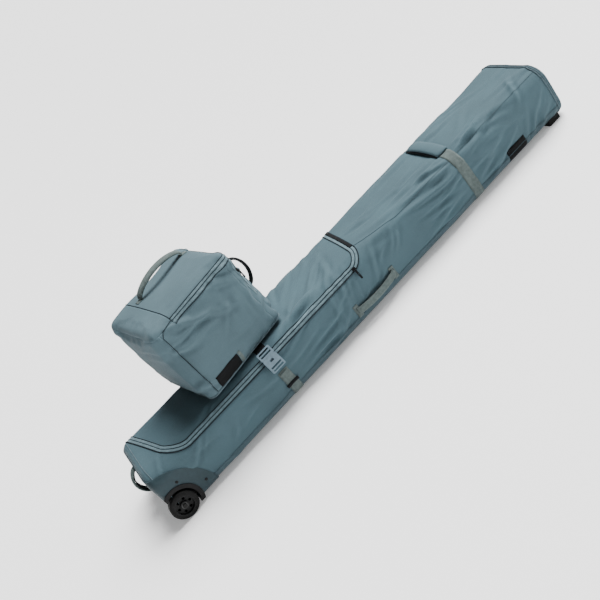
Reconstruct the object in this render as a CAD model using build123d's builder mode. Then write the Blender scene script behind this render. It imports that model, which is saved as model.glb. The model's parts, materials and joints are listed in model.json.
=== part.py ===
"""Wheeled ski bag lying flat, with a boot bag strapped to its lid.

Working axes: X runs from the wheel end to the head end, -Y is the side with the
carry handle, Z is up and the floor is Z = 0. The finished pieces are moved so
that the origin is under the middle of the whole object, on the floor.
"""
from build123d import *
import math
import os

os.makedirs("parts", exist_ok=True)

# Ski bag, mm
BAG_FOOT = 24            # fabric starts this far behind the wheels' front
BAG_LENGTH = 1916
BAG_WIDTH = 330
BAG_HEIGHT = 198
GROUND_GAP = 12          # floor to the underside of the fabric
WALL = 5                 # padded fabric
TOP_RADIUS = 60
BOTTOM_RADIUS = 35
END_ROUND = 25
SEW_GAP = 0.6            # open line between the two rows of zip teeth
FIT_GAP = 0.3            # between pieces that move on each other

# Main zip and lid
ZIP_ANGLE = 52           # how far round the top corner the zip runs, degrees
LID_FOOT_FAR = 40        # lid's ends, at the far and the near edge
LID_FOOT_NEAR = 148
LID_HEAD_NEAR = 1026
LID_HEAD_FAR = 1052
LID_FOOT_ROUND = 90
LID_HEAD_ROUND = 55
TAPE_WIDTH = 11
TAPE_THICK = 1.2

# Wheels and their moulded housing
WHEEL_RADIUS = 50
WHEEL_WIDTH = 33
WHEEL_PROUD = 12         # wheel's outer face beyond the fabric
AXLE_X = 57
AXLE_RADIUS = 4
BEARING_RADIUS = 11
BEARING_WIDTH = 7
BEARING_CLEARANCE = 0.05
RIM_RADIUS = 37
RIM_WALL = 5
WEB_THICK = 14
BARREL_WALL = 4
TYRE_ROUND = 6
BEARING_SET_IN = 1       # bearing's face behind the hub's
SPOKE_HOLES = 6
SPOKE_HOLE_RADIUS = 5
SPOKE_RING_RADIUS = 23
WELL_CLEARANCE = 8       # tyre to wheel arch
LINER_WALL = 3
LINER_LIP = 12
AXLE_HEAD = 2.5          # thickness of the axle's round head
AXLE_END_PLAY = 0.5
AXLE_COLLAR = 10         # radius of the collar inside the wheel
AXLE_HEAD_ROUND = 1.2
HOUSING_WALL = 3.5
HOUSING_REACH = 168      # length and height of the housing's curved edge
HOUSING_RISE = 178
HOUSING_FLAT = 10        # straight start of that edge at the foot
HOUSING_START_SLOPE = 0.05    # fall of that edge per unit of length where it starts
RIVET_RADIUS = 5
RIVET_HEAD = 2.2
RIVET_ROUND = 1.2
RIVET_PLACES = [(13, 64), (32, 3)]    # outside the arch's lip, and degrees round the axle
WELL_FIT = 0.2           # arch liner in the housing and the fabric

# Inside and underneath
BOARD_THICK = 2.5
BOARD_INSET = 45         # board's edge to the side panel
TIE_INSET = 10           # tie's end to the board's edge
BOARD_START = 126
BOARD_CORNER = 20
BOARD_END_GAP = 60
TIE_WIDTH = 30
BUMPER_LENGTH = 55
BUMPER_WIDTH = 45
BUMPER_RISE = 30
BUMPER_FROM_HEAD = 35
BUMPER_FROM_SIDE = 10
BUMPER_CORNER = 6

# Webbing
STRAP_WIDTH = 40
STRAP_THICK = 2
FOOT_STRAP_X = 578
HEAD_STRAP_X = 1490
HINGE_CLEAR = 3.5        # straps and housing stay this clear of the lid's hinge line
KEEPER_Z = 66
KEEPER_HEIGHT = 12
KEEPER_OVERHANG = 5
KEEPER_THICK = 2
FOOT_STRAP_DROP = 46     # strap leaves the side this far below the hinge line
FOOT_STRAP_ROUND = 20

# Side-release buckle
BUCKLE_ANGLE = 62        # lies across the top corner at this slope, degrees
BUCKLE_WIDTH = 54
BUCKLE_THICK = 13
BUCKLE_OFF_CORNER = 3.5
SOCKET_LENGTH = 28
LADDER_LENGTH = 24
MALE_LENGTH = 30
TONGUE_LENGTH = 7
TONGUE_WIDTH = 32
TONGUE_THICK = 3.4
SOCKET_DEPTH = 10
SOCKET_WALL = 1.5
SLOT_WIDTH = 42
SLOT_LENGTH = 6
LADDER_LAP = 3           # strap reaches this far into the ladder
LADDER_SLOT_SHARES = (0.28, 0.72)    # slots' places along the ladder
SOCKET_CORNER = 5
PLUG_CORNER = 4
WINDOW_WIDTH = 8
WINDOW_LENGTH = 14
PLUG_SLOT_END = 8        # slots' places from the plug's end
PLUG_SLOT_INNER = 18

# Handles
GRIP_THICK = 4
SIDE_HANDLE_X = 985
SIDE_HANDLE_SPAN = 182
SIDE_HANDLE_Z = 84       # hinge line at the grip's top edge
SIDE_GRIP_WIDTH = 25
SIDE_GRIP_BOW = 12
SIDE_TAB_LENGTH = 46
SIDE_TAB_WIDTH = 18
SIDE_TAB_THICK = 2.4
SIDE_TAB_RISE = 8        # tab's top edge above the hinge line
SIDE_GRIP_SHOULDER = 12
SIDE_GRIP_ROUND = 10
FOOT_HANDLE_Y = 30
FOOT_HANDLE_LOW = 60
FOOT_HANDLE_HIGH = 166
HANDLE_TAB_LENGTH = 16
FOOT_HANDLE_DEPTH = 44
FOOT_GRIP_WIDTH = 28
FOOT_GRIP_SLOPE = 30
FOOT_GRIP_ROUND = 14
HANDLE_TAB_OUT = 10      # tabs' middles beyond the grip's ends
HEAD_GRIP_WIDTH = 50
HEAD_GRIP_INSET_NEAR = 10    # grip's ends to the rounded top corners
HEAD_GRIP_INSET_FAR = 5
HEAD_GRIP_SLOPE = 40     # length over which each end rises
HEAD_GRIP_RISE = 14
HEAD_GRIP_ROUND = 12
PATCH_LENGTH = 88
PATCH_HEIGHT = 33
PATCH_X = 1694
PATCH_Z = 50

# Boot bag, in its own axes: origin under its middle, X towards the ski bag's head
BOOT_X = 504
BOOT_Y = 48
BOOT_YAW = 10.8
BOOT_LENGTH = 360
BOOT_WIDTH = 345
BOOT_HEIGHT = 317
BOOT_WALL = 4
BOOT_UPRIGHT_ROUND = 30
BOOT_EDGE_ROUND = 20
FLAP_START = -90         # flap's sewn edge
BOOT_PIPING = 3
BOOT_PIPING_HEIGHT = 5
BOOT_PIPING_LOW = 4      # the bead lies on the rounded lower edge
BOOT_PATCH_START = -129
BOOT_PATCH_LENGTH = 103
BOOT_PATCH_LOW = 11
BOOT_PATCH_HEIGHT = 53
DRAIN_Y = 45
DRAIN_Z = 72
DRAIN_RADIUS = 5
DRAIN_HOLE_RADIUS = 2.5
DRAIN_THICK = 1.5
BOOT_HANDLE_Y = 70
BOOT_HANDLE_START = -58
BOOT_HANDLE_END = 142
BOOT_HANDLE_RISE = 46
BOOT_GRIP_WIDTH = 25
BOOT_GRIP_SHOULDER = 26
BOOT_SHOULDER_RISE = 32.2
BOOT_GRIP_SLOPE = 70
BOOT_GRIP_ROUND = 12
LOOP_WIDTH = 20
LOOP_THICK = 3
LOOP_ROUND = 10
HAUL_LOOP_Y = -120
HAUL_LOOP_LOW = 148
HAUL_LOOP_HIGH = 258
HAUL_LOOP_DEPTH = 40
TOP_LOOP_NEAR = -95
TOP_LOOP_FAR = 15
TOP_LOOP_DEPTH = 16
TOP_LOOP_SLOPE = 25
TOP_LOOP_DROP = 4        # loop's upper edge below the zip tape
BOOT_SLIDER_Z = 236
EDGE_TAPE_LOW = 130      # foot of the zip down the near head edge
EDGE_TAPE_REACH = 28
SLIDER_LENGTH = 14
SLIDER_WIDTH = 9
SLIDER_HEIGHT = 5
PULL_LENGTH = 38
PULL_WIDTH = 7
PULL_THICK = 2.4
PULL_DROOP = 18          # pull hangs this much steeper than the zip, degrees

half_width = BAG_WIDTH / 2
bag_head = BAG_FOOT + BAG_LENGTH
bag_top = GROUND_GAP + BAG_HEIGHT
corner_y = half_width - TOP_RADIUS
corner_z = bag_top - TOP_RADIUS
side_low = GROUND_GAP + BOTTOM_RADIUS
zip_y = -corner_y - TOP_RADIUS * math.sin(math.radians(ZIP_ANGLE))
zip_z = corner_z + TOP_RADIUS * math.cos(math.radians(ZIP_ANGLE))
beyond = 40              # how far cutting blocks reach past the bag


# ---- Helpers -------------------------------------------------------------
def keep_between(low, high):
    """Trim the part being built to the box between two corners."""
    middle = tuple((a + b) / 2 for a, b in zip(low, high))
    with Locations(middle):
        Box(high[0] - low[0], high[1] - low[1], high[2] - low[2], mode=Mode.INTERSECT)


def bag_core(inset):
    """The bag's filled outer shape, taken inwards by inset."""
    with BuildPart() as core:
        with BuildSketch(Plane.YZ.offset(BAG_FOOT + inset)) as section:
            with Locations((0, GROUND_GAP + BAG_HEIGHT / 2)):
                Rectangle(BAG_WIDTH - 2 * inset, BAG_HEIGHT - 2 * inset)
            rows = section.vertices().group_by(Axis.Y)
            fillet(rows[0], BOTTOM_RADIUS - inset)
            rows = section.vertices().group_by(Axis.Y)
            fillet(rows[-1], TOP_RADIUS - inset)
        extrude(amount=BAG_LENGTH - 2 * inset)
        ends = core.faces().filter_by(Axis.X)
        fillet(ends.edges(), END_ROUND - inset)
    return core.part


def lid_block(grow):
    """Upright block over the lid's plan outline, grown outwards by grow."""
    outer_y = half_width + beyond
    with BuildPart() as block:
        with BuildSketch(Plane.XY.offset(corner_z - grow)) as plan:
            with BuildLine():
                Polyline(
                    (LID_FOOT_FAR, outer_y),
                    (LID_FOOT_NEAR, zip_y),
                    (LID_HEAD_NEAR, zip_y),
                    (LID_HEAD_FAR, outer_y),
                    close=True,
                )
            make_face()
            fillet(plan.vertices().group_by(Axis.Y)[0].sort_by(Axis.X)[0], LID_FOOT_ROUND)
            fillet(plan.vertices().group_by(Axis.Y)[0].sort_by(Axis.X)[-1], LID_HEAD_ROUND)
            if grow:
                offset(amount=grow)
        extrude(amount=TOP_RADIUS + beyond)
    return block.part


def webbing(plane, points, thick, width, bend):
    """Band of webbing: points in plane give its middle line, its width is square to it."""
    with BuildPart() as band:
        with BuildSketch(plane):
            with BuildLine():
                FilletPolyline(*points, radius=bend)
            trace(line_width=thick)
        extrude(amount=width / 2, both=True)
    return band.part


# ---- Ski bag: sewn shell -------------------------------------------------
axle_z = WHEEL_RADIUS
wheel_outer = half_width + WHEEL_PROUD
wheel_inner = wheel_outer - WHEEL_WIDTH
well_radius = WHEEL_RADIUS + WELL_CLEARANCE + LINER_WALL
well_back = wheel_inner - WELL_CLEARANCE
sides = {"near": -1, "far": 1}


def across(side, distance):
    """Plane square to the axles, this far out from the middle on one side."""
    return Plane((AXLE_X, side * distance, axle_z), x_dir=(1, 0, 0), z_dir=(0, side, 0))


outer_core = bag_core(0)
inner_core = bag_core(WALL)
lid_opening = lid_block(SEW_GAP / 2)
lid_outline = lid_block(-SEW_GAP / 2)

with BuildPart() as shell:
    add(outer_core)
    add(inner_core, mode=Mode.SUBTRACT)
    add(lid_opening, mode=Mode.SUBTRACT)
    for side in sides.values():
        with BuildSketch(across(side, well_back - LINER_WALL - WELL_FIT)):
            Circle(well_radius + WELL_FIT)
        extrude(amount=half_width, mode=Mode.SUBTRACT)

foot_seam = BAG_FOOT + END_ROUND
head_seam = bag_head - END_ROUND
top_split = (LID_FOOT_NEAR + LID_HEAD_NEAR) / 2

with BuildPart() as base_panel:
    add(shell.part)
    keep_between((0, -half_width, 0), (bag_head, half_width, side_low))

with BuildPart() as foot_end_panel:
    add(shell.part)
    keep_between((0, -half_width, side_low), (foot_seam, half_width, bag_top))

with BuildPart() as head_end_panel:
    add(shell.part)
    keep_between((head_seam, -half_width, side_low), (bag_head, half_width, bag_top))

with BuildPart() as near_side_panel:
    add(shell.part)
    keep_between((foot_seam, -half_width, side_low), (head_seam, zip_y, bag_top))

with BuildPart() as far_side_panel:
    add(shell.part)
    keep_between((foot_seam, corner_y, side_low), (head_seam, half_width, corner_z))

with BuildPart() as foot_top_panel:
    add(shell.part)
    keep_between((foot_seam, zip_y, corner_z), (top_split, half_width, bag_top))

with BuildPart() as head_top_panel:
    add(shell.part)
    keep_between((top_split, zip_y, corner_z), (head_seam, half_width, bag_top))

# ---- Lid -----------------------------------------------------------------
with BuildPart() as lid_panel:
    add(outer_core)
    add(inner_core, mode=Mode.SUBTRACT)
    add(lid_outline, mode=Mode.INTERSECT)

tape_core = bag_core(-TAPE_THICK)
shell_tape_outline = lid_block(TAPE_WIDTH)
lid_tape_outline = lid_block(-TAPE_WIDTH)

with BuildPart() as shell_zip_tape:
    add(tape_core)
    add(outer_core, mode=Mode.SUBTRACT)
    add(shell_tape_outline, mode=Mode.INTERSECT)
    add(lid_opening, mode=Mode.SUBTRACT)
    keep_between((0, -half_width - beyond, 0), (bag_head, corner_y, bag_top + beyond))

with BuildPart() as lid_zip_tape:
    add(tape_core)
    add(outer_core, mode=Mode.SUBTRACT)
    add(lid_outline, mode=Mode.INTERSECT)
    add(lid_tape_outline, mode=Mode.SUBTRACT)
    keep_between((0, -half_width - beyond, 0), (bag_head, corner_y, bag_top + beyond))

# ---- Wheel housing, arches, axles and wheels ------------------------------
housing_core = bag_core(-HOUSING_WALL)

with BuildPart() as wheel_housing:
    add(housing_core)
    add(outer_core, mode=Mode.SUBTRACT)
    with BuildSketch(Plane.XZ.offset(-half_width - beyond)):
        with BuildLine():
            corner = (BAG_FOOT - beyond, GROUND_GAP - beyond)
            upper = (BAG_FOOT - beyond, GROUND_GAP + HOUSING_RISE)
            lower = (BAG_FOOT + HOUSING_REACH, GROUND_GAP - beyond)
            curve_top = (BAG_FOOT + HOUSING_FLAT, GROUND_GAP + HOUSING_RISE)
            curve_foot = (BAG_FOOT + HOUSING_REACH, GROUND_GAP - 2 * HOUSING_WALL)
            Line(corner, upper)
            Line(upper, curve_top)
            TangentArc(curve_top, curve_foot, tangent=(1, -HOUSING_START_SLOPE))
            Line(curve_foot, lower)
            Line(lower, corner)
        make_face()
    extrude(amount=2 * (half_width + beyond), mode=Mode.INTERSECT)
    with Locations((LID_FOOT_FAR + HOUSING_REACH / 2, half_width, corner_z - HINGE_CLEAR + beyond)):
        Box(HOUSING_REACH, half_width, 2 * beyond, mode=Mode.SUBTRACT)
    for side in sides.values():
        with BuildSketch(across(side, well_back - LINER_WALL - WELL_FIT)):
            Circle(well_radius + WELL_FIT)
        extrude(amount=half_width, mode=Mode.SUBTRACT)

liner_face = half_width + HOUSING_WALL


def arch_liner(side):
    """Tub round a wheel's top, with a lip over the housing's arch."""
    depth = liner_face - well_back + LINER_WALL
    with BuildPart() as liner:
        with BuildSketch(across(side, well_back - LINER_WALL)):
            Circle(well_radius)
        extrude(amount=depth)
        with BuildSketch(across(side, liner_face)):
            Circle(well_radius + LINER_LIP)
        extrude(amount=LINER_WALL)
        with BuildSketch(across(side, well_back)):
            Circle(well_radius - LINER_WALL)
        extrude(amount=half_width, mode=Mode.SUBTRACT)
        keep_between((BAG_FOOT, -2 * half_width, GROUND_GAP), (bag_head, 2 * half_width, bag_top))
    return liner


def axle(side):
    """Fixed stub axle standing out of the arch liner, with a round head."""
    with BuildPart() as shaft:
        with BuildSketch(across(side, well_back)):
            Circle(AXLE_COLLAR)
        extrude(amount=wheel_inner - well_back - 1)
        with BuildSketch(across(side, well_back)):
            Circle(AXLE_RADIUS)
        extrude(amount=wheel_outer + AXLE_END_PLAY - well_back)
        with BuildSketch(across(side, wheel_outer + AXLE_END_PLAY)):
            Circle(2 * AXLE_RADIUS)
        extrude(amount=AXLE_HEAD)
        fillet(shaft.faces().sort_by(Axis.Y)[0 if side < 0 else -1].edges(), AXLE_HEAD_ROUND)
    return shaft


def tyre(side):
    """Solid urethane tyre with rounded shoulders."""
    with BuildPart() as ring:
        with BuildSketch(across(side, wheel_inner)):
            Circle(WHEEL_RADIUS)
            Circle(RIM_RADIUS, mode=Mode.SUBTRACT)
        extrude(amount=WHEEL_WIDTH)
        rims = ring.edges().filter_by(GeomType.CIRCLE)
        fillet([e for e in rims if abs(e.radius - WHEEL_RADIUS) < 0.01], TYRE_ROUND)
    return ring


def hub(side):
    """Moulded hub: rim, pierced web and bearing barrel."""
    middle = (wheel_inner + wheel_outer) / 2
    with BuildPart() as body:
        with BuildSketch(across(side, wheel_inner)):
            Circle(RIM_RADIUS)
            Circle(RIM_RADIUS - RIM_WALL, mode=Mode.SUBTRACT)
        extrude(amount=WHEEL_WIDTH)
        with BuildSketch(across(side, middle - WEB_THICK / 3)):
            Circle(RIM_RADIUS - RIM_WALL / 2)
            with PolarLocations(SPOKE_RING_RADIUS, SPOKE_HOLES):
                Circle(SPOKE_HOLE_RADIUS, mode=Mode.SUBTRACT)
        extrude(amount=WEB_THICK)
        with BuildSketch(across(side, wheel_inner + BEARING_SET_IN)):
            Circle(BEARING_RADIUS + BARREL_WALL)
        extrude(amount=WHEEL_WIDTH - 2 * BEARING_SET_IN)
        with BuildSketch(across(side, wheel_inner)):
            Circle(AXLE_RADIUS + 3)
        extrude(amount=WHEEL_WIDTH, mode=Mode.SUBTRACT)
        for start in (wheel_inner + BEARING_SET_IN, wheel_outer - BEARING_SET_IN - BEARING_WIDTH):
            with BuildSketch(across(side, start)):
                Circle(BEARING_RADIUS)
            extrude(amount=BEARING_WIDTH, mode=Mode.SUBTRACT)
    return body


def bearings(side):
    """Two ball bearings, one in each end of the hub's barrel."""
    with BuildPart() as pair:
        for start in (wheel_inner + BEARING_SET_IN, wheel_outer - BEARING_SET_IN - BEARING_WIDTH):
            with BuildSketch(across(side, start)):
                Circle(BEARING_RADIUS)
                Circle(AXLE_RADIUS + BEARING_CLEARANCE, mode=Mode.SUBTRACT)
            extrude(amount=BEARING_WIDTH)
    return pair


arch_radius = well_radius + LINER_LIP
rivet_points = [
    (
        AXLE_X + (arch_radius + out) * math.cos(math.radians(turn)),
        axle_z + (arch_radius + out) * math.sin(math.radians(turn)),
    )
    for out, turn in RIVET_PLACES
]

with BuildPart() as housing_rivets:
    for side in sides.values():
        for x, z in rivet_points:
            spot = Plane((x, side * liner_face, z), x_dir=(1, 0, 0), z_dir=(0, side, 0))
            with BuildSketch(spot):
                Circle(RIVET_RADIUS)
            extrude(amount=RIVET_HEAD)
    tops = [f for f in housing_rivets.faces().filter_by(Axis.Y) if abs(f.center().Y) > liner_face + 1]
    fillet([e for f in tops for e in f.edges()], RIVET_ROUND)

# ---- Underside and inside --------------------------------------------------
bumper_x = bag_head - BUMPER_FROM_HEAD - BUMPER_LENGTH / 2
bumper_y = half_width - BUMPER_FROM_SIDE - BUMPER_WIDTH / 2

with BuildPart() as head_bumpers:
    for side in sides.values():
        with Locations((bumper_x, side * bumper_y, BUMPER_RISE / 2)):
            Box(BUMPER_LENGTH, BUMPER_WIDTH, BUMPER_RISE)
    fillet(head_bumpers.edges().filter_by(Axis.Z), BUMPER_CORNER)
    add(outer_core, mode=Mode.SUBTRACT)

board_z = GROUND_GAP + WALL
board_end = bag_head - BOARD_END_GAP
board_width = BAG_WIDTH - 2 * BOARD_INSET
with BuildPart() as base_board:
    with Locations(((BOARD_START + board_end) / 2, 0, board_z + BOARD_THICK / 2)):
        Box(board_end - BOARD_START, board_width, BOARD_THICK)
    fillet(base_board.edges().filter_by(Axis.Z), BOARD_CORNER)

with BuildPart() as inner_ties:
    for x in (FOOT_STRAP_X, HEAD_STRAP_X):
        with Locations((x, 0, board_z + BOARD_THICK + STRAP_THICK / 2)):
            Box(TIE_WIDTH, board_width - 2 * TIE_INSET, STRAP_THICK)

# ---- Straps ----------------------------------------------------------------
strap_core = bag_core(-STRAP_THICK)
strap_y = half_width + STRAP_THICK / 2
buckle_slope = math.radians(BUCKLE_ANGLE)
buckle_r = TOP_RADIUS + BUCKLE_OFF_CORNER + BUCKLE_THICK / 2
buckle_up = Vector(0, math.cos(buckle_slope), math.sin(buckle_slope))
buckle_out = Vector(0, -math.sin(buckle_slope), math.cos(buckle_slope))
buckle_centre = Vector(FOOT_STRAP_X, -corner_y, corner_z) + buckle_out * buckle_r
# In the buckle's plane X runs up the strap, Y runs across it and Z points outwards.
buckle_plane = Plane(buckle_centre, x_dir=buckle_up, z_dir=buckle_out)
buckle_length = LADDER_LENGTH + SOCKET_LENGTH + MALE_LENGTH
mouth = buckle_length / 2 - MALE_LENGTH
ladder_end = -buckle_length / 2
under_buckle = BUCKLE_THICK / 2 + STRAP_THICK / 2 + FIT_GAP


def buckle_point(along, out):
    """A point in the buckle's middle plane, as (y, z) of the whole object."""
    spot = buckle_centre + buckle_up * along + buckle_out * out
    return (spot.Y, spot.Z)


strap_section = Plane((FOOT_STRAP_X, 0, 0), x_dir=(0, 1, 0), z_dir=(1, 0, 0))
keeper_top = KEEPER_Z + KEEPER_HEIGHT / 2
foot_strap_tail = webbing(
    strap_section,
    [
        (-strap_y, keeper_top),
        (-strap_y, corner_z - FOOT_STRAP_DROP),
        buckle_point(ladder_end + LADDER_LAP, -under_buckle),
    ],
    STRAP_THICK,
    STRAP_WIDTH,
    FOOT_STRAP_ROUND,
)

with BuildPart() as foot_strap:
    add(strap_core)
    add(outer_core, mode=Mode.SUBTRACT)
    half_strap = STRAP_WIDTH / 2
    low = (FOOT_STRAP_X - half_strap, -half_width - beyond, 0)
    keep_between(low, (FOOT_STRAP_X + half_strap, half_width + beyond, corner_z - HINGE_CLEAR))
    near_cut = (STRAP_WIDTH + 2, beyond, BAG_HEIGHT)
    with Locations((FOOT_STRAP_X, -half_width, keeper_top + BAG_HEIGHT / 2)):
        Box(*near_cut, mode=Mode.SUBTRACT)
    add(foot_strap_tail)

with BuildPart() as strap_keeper:
    with Locations((FOOT_STRAP_X, -half_width - STRAP_THICK - 1, KEEPER_Z)):
        Box(STRAP_WIDTH + 2 * KEEPER_OVERHANG, KEEPER_THICK, KEEPER_HEIGHT)
    fillet(strap_keeper.edges().filter_by(Axis.Y), 2)

# The lid's webbing leaves the top corner on a straight line to the plug's bar.
bar_y, bar_z = buckle_point(buckle_length / 2 - 8, -under_buckle)
strap_r = TOP_RADIUS + STRAP_THICK / 2
bar_turn = math.atan2(-corner_y - bar_y, bar_z - corner_z)
leave_turn = bar_turn - math.acos(strap_r / math.hypot(-corner_y - bar_y, bar_z - corner_z))
leave_y = -corner_y - strap_r * math.sin(leave_turn)
leave_z = corner_z + strap_r * math.cos(leave_turn)

with BuildPart() as lid_strap:
    add(strap_core)
    add(outer_core, mode=Mode.SUBTRACT)
    low = (FOOT_STRAP_X - half_strap, leave_y, corner_z + 1)
    keep_between(low, (FOOT_STRAP_X + half_strap, half_width + beyond, bag_top + beyond))
    with BuildSketch(strap_section):
        with BuildLine():
            Line((leave_y, leave_z), (bar_y, bar_z))
        trace(line_width=STRAP_THICK)
    extrude(amount=half_strap, both=True)

with BuildPart(buckle_plane) as buckle_socket:
    with Locations(((mouth + ladder_end) / 2, 0, 0)):
        Box(mouth - ladder_end, BUCKLE_WIDTH, BUCKLE_THICK)
    corners = buckle_socket.edges().filter_by(lambda e: abs(e.tangent_at(0).dot(buckle_out)) > 0.99)
    fillet(corners, SOCKET_CORNER)
    socket_high = BUCKLE_THICK - 2 * SOCKET_WALL
    with Locations((mouth - SOCKET_DEPTH / 2, 0, 0)):
        Box(SOCKET_DEPTH, TONGUE_WIDTH + 6, socket_high, mode=Mode.SUBTRACT)
    with Locations((mouth - SOCKET_DEPTH - 4, 0, BUCKLE_THICK / 2)):
        Box(WINDOW_WIDTH, WINDOW_LENGTH, BUCKLE_THICK, mode=Mode.SUBTRACT)
    for step in LADDER_SLOT_SHARES:
        with Locations((ladder_end + step * LADDER_LENGTH, 0, 0)):
            Box(SLOT_LENGTH, SLOT_WIDTH, 2 * BUCKLE_THICK, mode=Mode.SUBTRACT)

with BuildPart(buckle_plane) as buckle_plug:
    with Locations((mouth + FIT_GAP + MALE_LENGTH / 2, 0, 0)):
        Box(MALE_LENGTH, BUCKLE_WIDTH, BUCKLE_THICK - 2)
    fillet(buckle_plug.edges().filter_by(lambda e: abs(e.tangent_at(0).dot(buckle_out)) > 0.99), PLUG_CORNER)
    with Locations((mouth + FIT_GAP - TONGUE_LENGTH / 2, 0, 0)):
        Box(TONGUE_LENGTH, TONGUE_WIDTH, TONGUE_THICK)
    for along in (MALE_LENGTH - PLUG_SLOT_END, MALE_LENGTH - PLUG_SLOT_INNER):
        with Locations((mouth + along, 0, 0)):
            Box(SLOT_LENGTH, SLOT_WIDTH, 2 * BUCKLE_THICK, mode=Mode.SUBTRACT)

with BuildPart() as head_strap:
    add(strap_core)
    add(outer_core, mode=Mode.SUBTRACT)
    low = (HEAD_STRAP_X - half_strap, -half_width - beyond, 0)
    keep_between(low, (HEAD_STRAP_X + half_strap, half_width + beyond, bag_top + beyond))

# ---- Handles on the ski bag --------------------------------------------------
half_span = SIDE_HANDLE_SPAN / 2
grip_half = half_span - SIDE_TAB_WIDTH / 2 - FIT_GAP
grip_y = -half_width - FIT_GAP - GRIP_THICK / 2
side_handle_band = webbing(
    Plane.XY.offset(SIDE_HANDLE_Z - SIDE_GRIP_WIDTH / 2),
    [
        (SIDE_HANDLE_X - grip_half, grip_y),
        (SIDE_HANDLE_X - grip_half + SIDE_GRIP_SHOULDER, grip_y),
        (SIDE_HANDLE_X - grip_half / 2, grip_y - SIDE_GRIP_BOW),
        (SIDE_HANDLE_X + grip_half / 2, grip_y - SIDE_GRIP_BOW),
        (SIDE_HANDLE_X + grip_half - SIDE_GRIP_SHOULDER, grip_y),
        (SIDE_HANDLE_X + grip_half, grip_y),
    ],
    GRIP_THICK,
    SIDE_GRIP_WIDTH,
    SIDE_GRIP_ROUND,
)
with BuildPart() as side_handle:
    add(side_handle_band)

with BuildPart() as side_handle_tabs:
    for end in (-half_span, half_span):
        tab_z = SIDE_HANDLE_Z - SIDE_TAB_LENGTH / 2 + SIDE_TAB_RISE
        spot = (SIDE_HANDLE_X + end, -half_width - SIDE_TAB_THICK / 2, tab_z)
        with Locations(spot):
            Box(SIDE_TAB_WIDTH, SIDE_TAB_THICK, SIDE_TAB_LENGTH)
    fillet(side_handle_tabs.edges().filter_by(Axis.Y), 2)

handle_face = BAG_FOOT - HOUSING_WALL
handle_end = handle_face - FIT_GAP - GRIP_THICK / 3
foot_handle_band = webbing(
    Plane((0, FOOT_HANDLE_Y, 0), x_dir=(1, 0, 0), z_dir=(0, -1, 0)),
    [
        (handle_end, FOOT_HANDLE_HIGH),
        (handle_face - FOOT_HANDLE_DEPTH, FOOT_HANDLE_HIGH - FOOT_GRIP_SLOPE),
        (handle_face - FOOT_HANDLE_DEPTH, FOOT_HANDLE_LOW + FOOT_GRIP_SLOPE),
        (handle_end, FOOT_HANDLE_LOW),
    ],
    GRIP_THICK,
    FOOT_GRIP_WIDTH,
    FOOT_GRIP_ROUND,
)
with BuildPart() as foot_handle:
    add(foot_handle_band)

with BuildPart() as foot_handle_tabs:
    for z in (FOOT_HANDLE_HIGH + HANDLE_TAB_OUT, FOOT_HANDLE_LOW - HANDLE_TAB_OUT):
        with Locations((handle_face - 1, FOOT_HANDLE_Y, z)):
            Box(2, FOOT_GRIP_WIDTH, HANDLE_TAB_LENGTH)

head_grip_base = bag_top + STRAP_THICK + FIT_GAP
head_grip_near = -corner_y + HEAD_GRIP_INSET_NEAR
head_grip_far = corner_y - HEAD_GRIP_INSET_FAR
head_handle_band = webbing(
    Plane((HEAD_STRAP_X, 0, 0), x_dir=(0, 1, 0), z_dir=(1, 0, 0)),
    [
        (head_grip_near, head_grip_base + GRIP_THICK / 2),
        (head_grip_near + HEAD_GRIP_SLOPE, head_grip_base + HEAD_GRIP_RISE),
        (head_grip_far - HEAD_GRIP_SLOPE, head_grip_base + HEAD_GRIP_RISE),
        (head_grip_far, head_grip_base + GRIP_THICK / 2),
    ],
    GRIP_THICK,
    HEAD_GRIP_WIDTH,
    HEAD_GRIP_ROUND,
)
with BuildPart() as head_handle:
    add(head_handle_band)

with BuildPart() as side_patch:
    add(tape_core)
    add(outer_core, mode=Mode.SUBTRACT)
    low = (PATCH_X - PATCH_LENGTH / 2, -half_width - beyond, PATCH_Z - PATCH_HEIGHT / 2)
    high = (PATCH_X + PATCH_LENGTH / 2, 0, PATCH_Z + PATCH_HEIGHT / 2)
    keep_between(low, high)


# ---- Zip sliders and pulls ---------------------------------------------------
def slider(place):
    """Slider body on a plane whose X runs along the zip and Z points outwards."""
    with BuildPart(place) as body:
        with Locations((0, 0, SLIDER_HEIGHT / 2)):
            Box(SLIDER_LENGTH, SLIDER_WIDTH, SLIDER_HEIGHT)
        with Locations((0, 0, SLIDER_HEIGHT)):
            Box(SLIDER_LENGTH - 6, 3, 3, mode=Mode.SUBTRACT)
    return body


def pull(place):
    """Flat cord pull lying from the slider's bail along the plane's -Y."""
    with BuildPart(place) as tab:
        with BuildSketch(place):
            with Locations((0, -PULL_LENGTH / 2)):
                SlotOverall(PULL_LENGTH, PULL_WIDTH, rotation=90)
                Circle(PULL_WIDTH / 4, mode=Mode.SUBTRACT)
        extrude(amount=PULL_THICK)
    return tab


def tangent_plane(x, degrees, off):
    """Plane on the near top corner: X along the bag, Y up the surface, Z outwards."""
    turn = math.radians(degrees)
    out = Vector(0, -math.sin(turn), math.cos(turn))
    spot = Vector(x, -corner_y, corner_z) + out * (TOP_RADIUS + off)
    return Plane(spot, x_dir=(1, 0, 0), z_dir=out)


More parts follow.
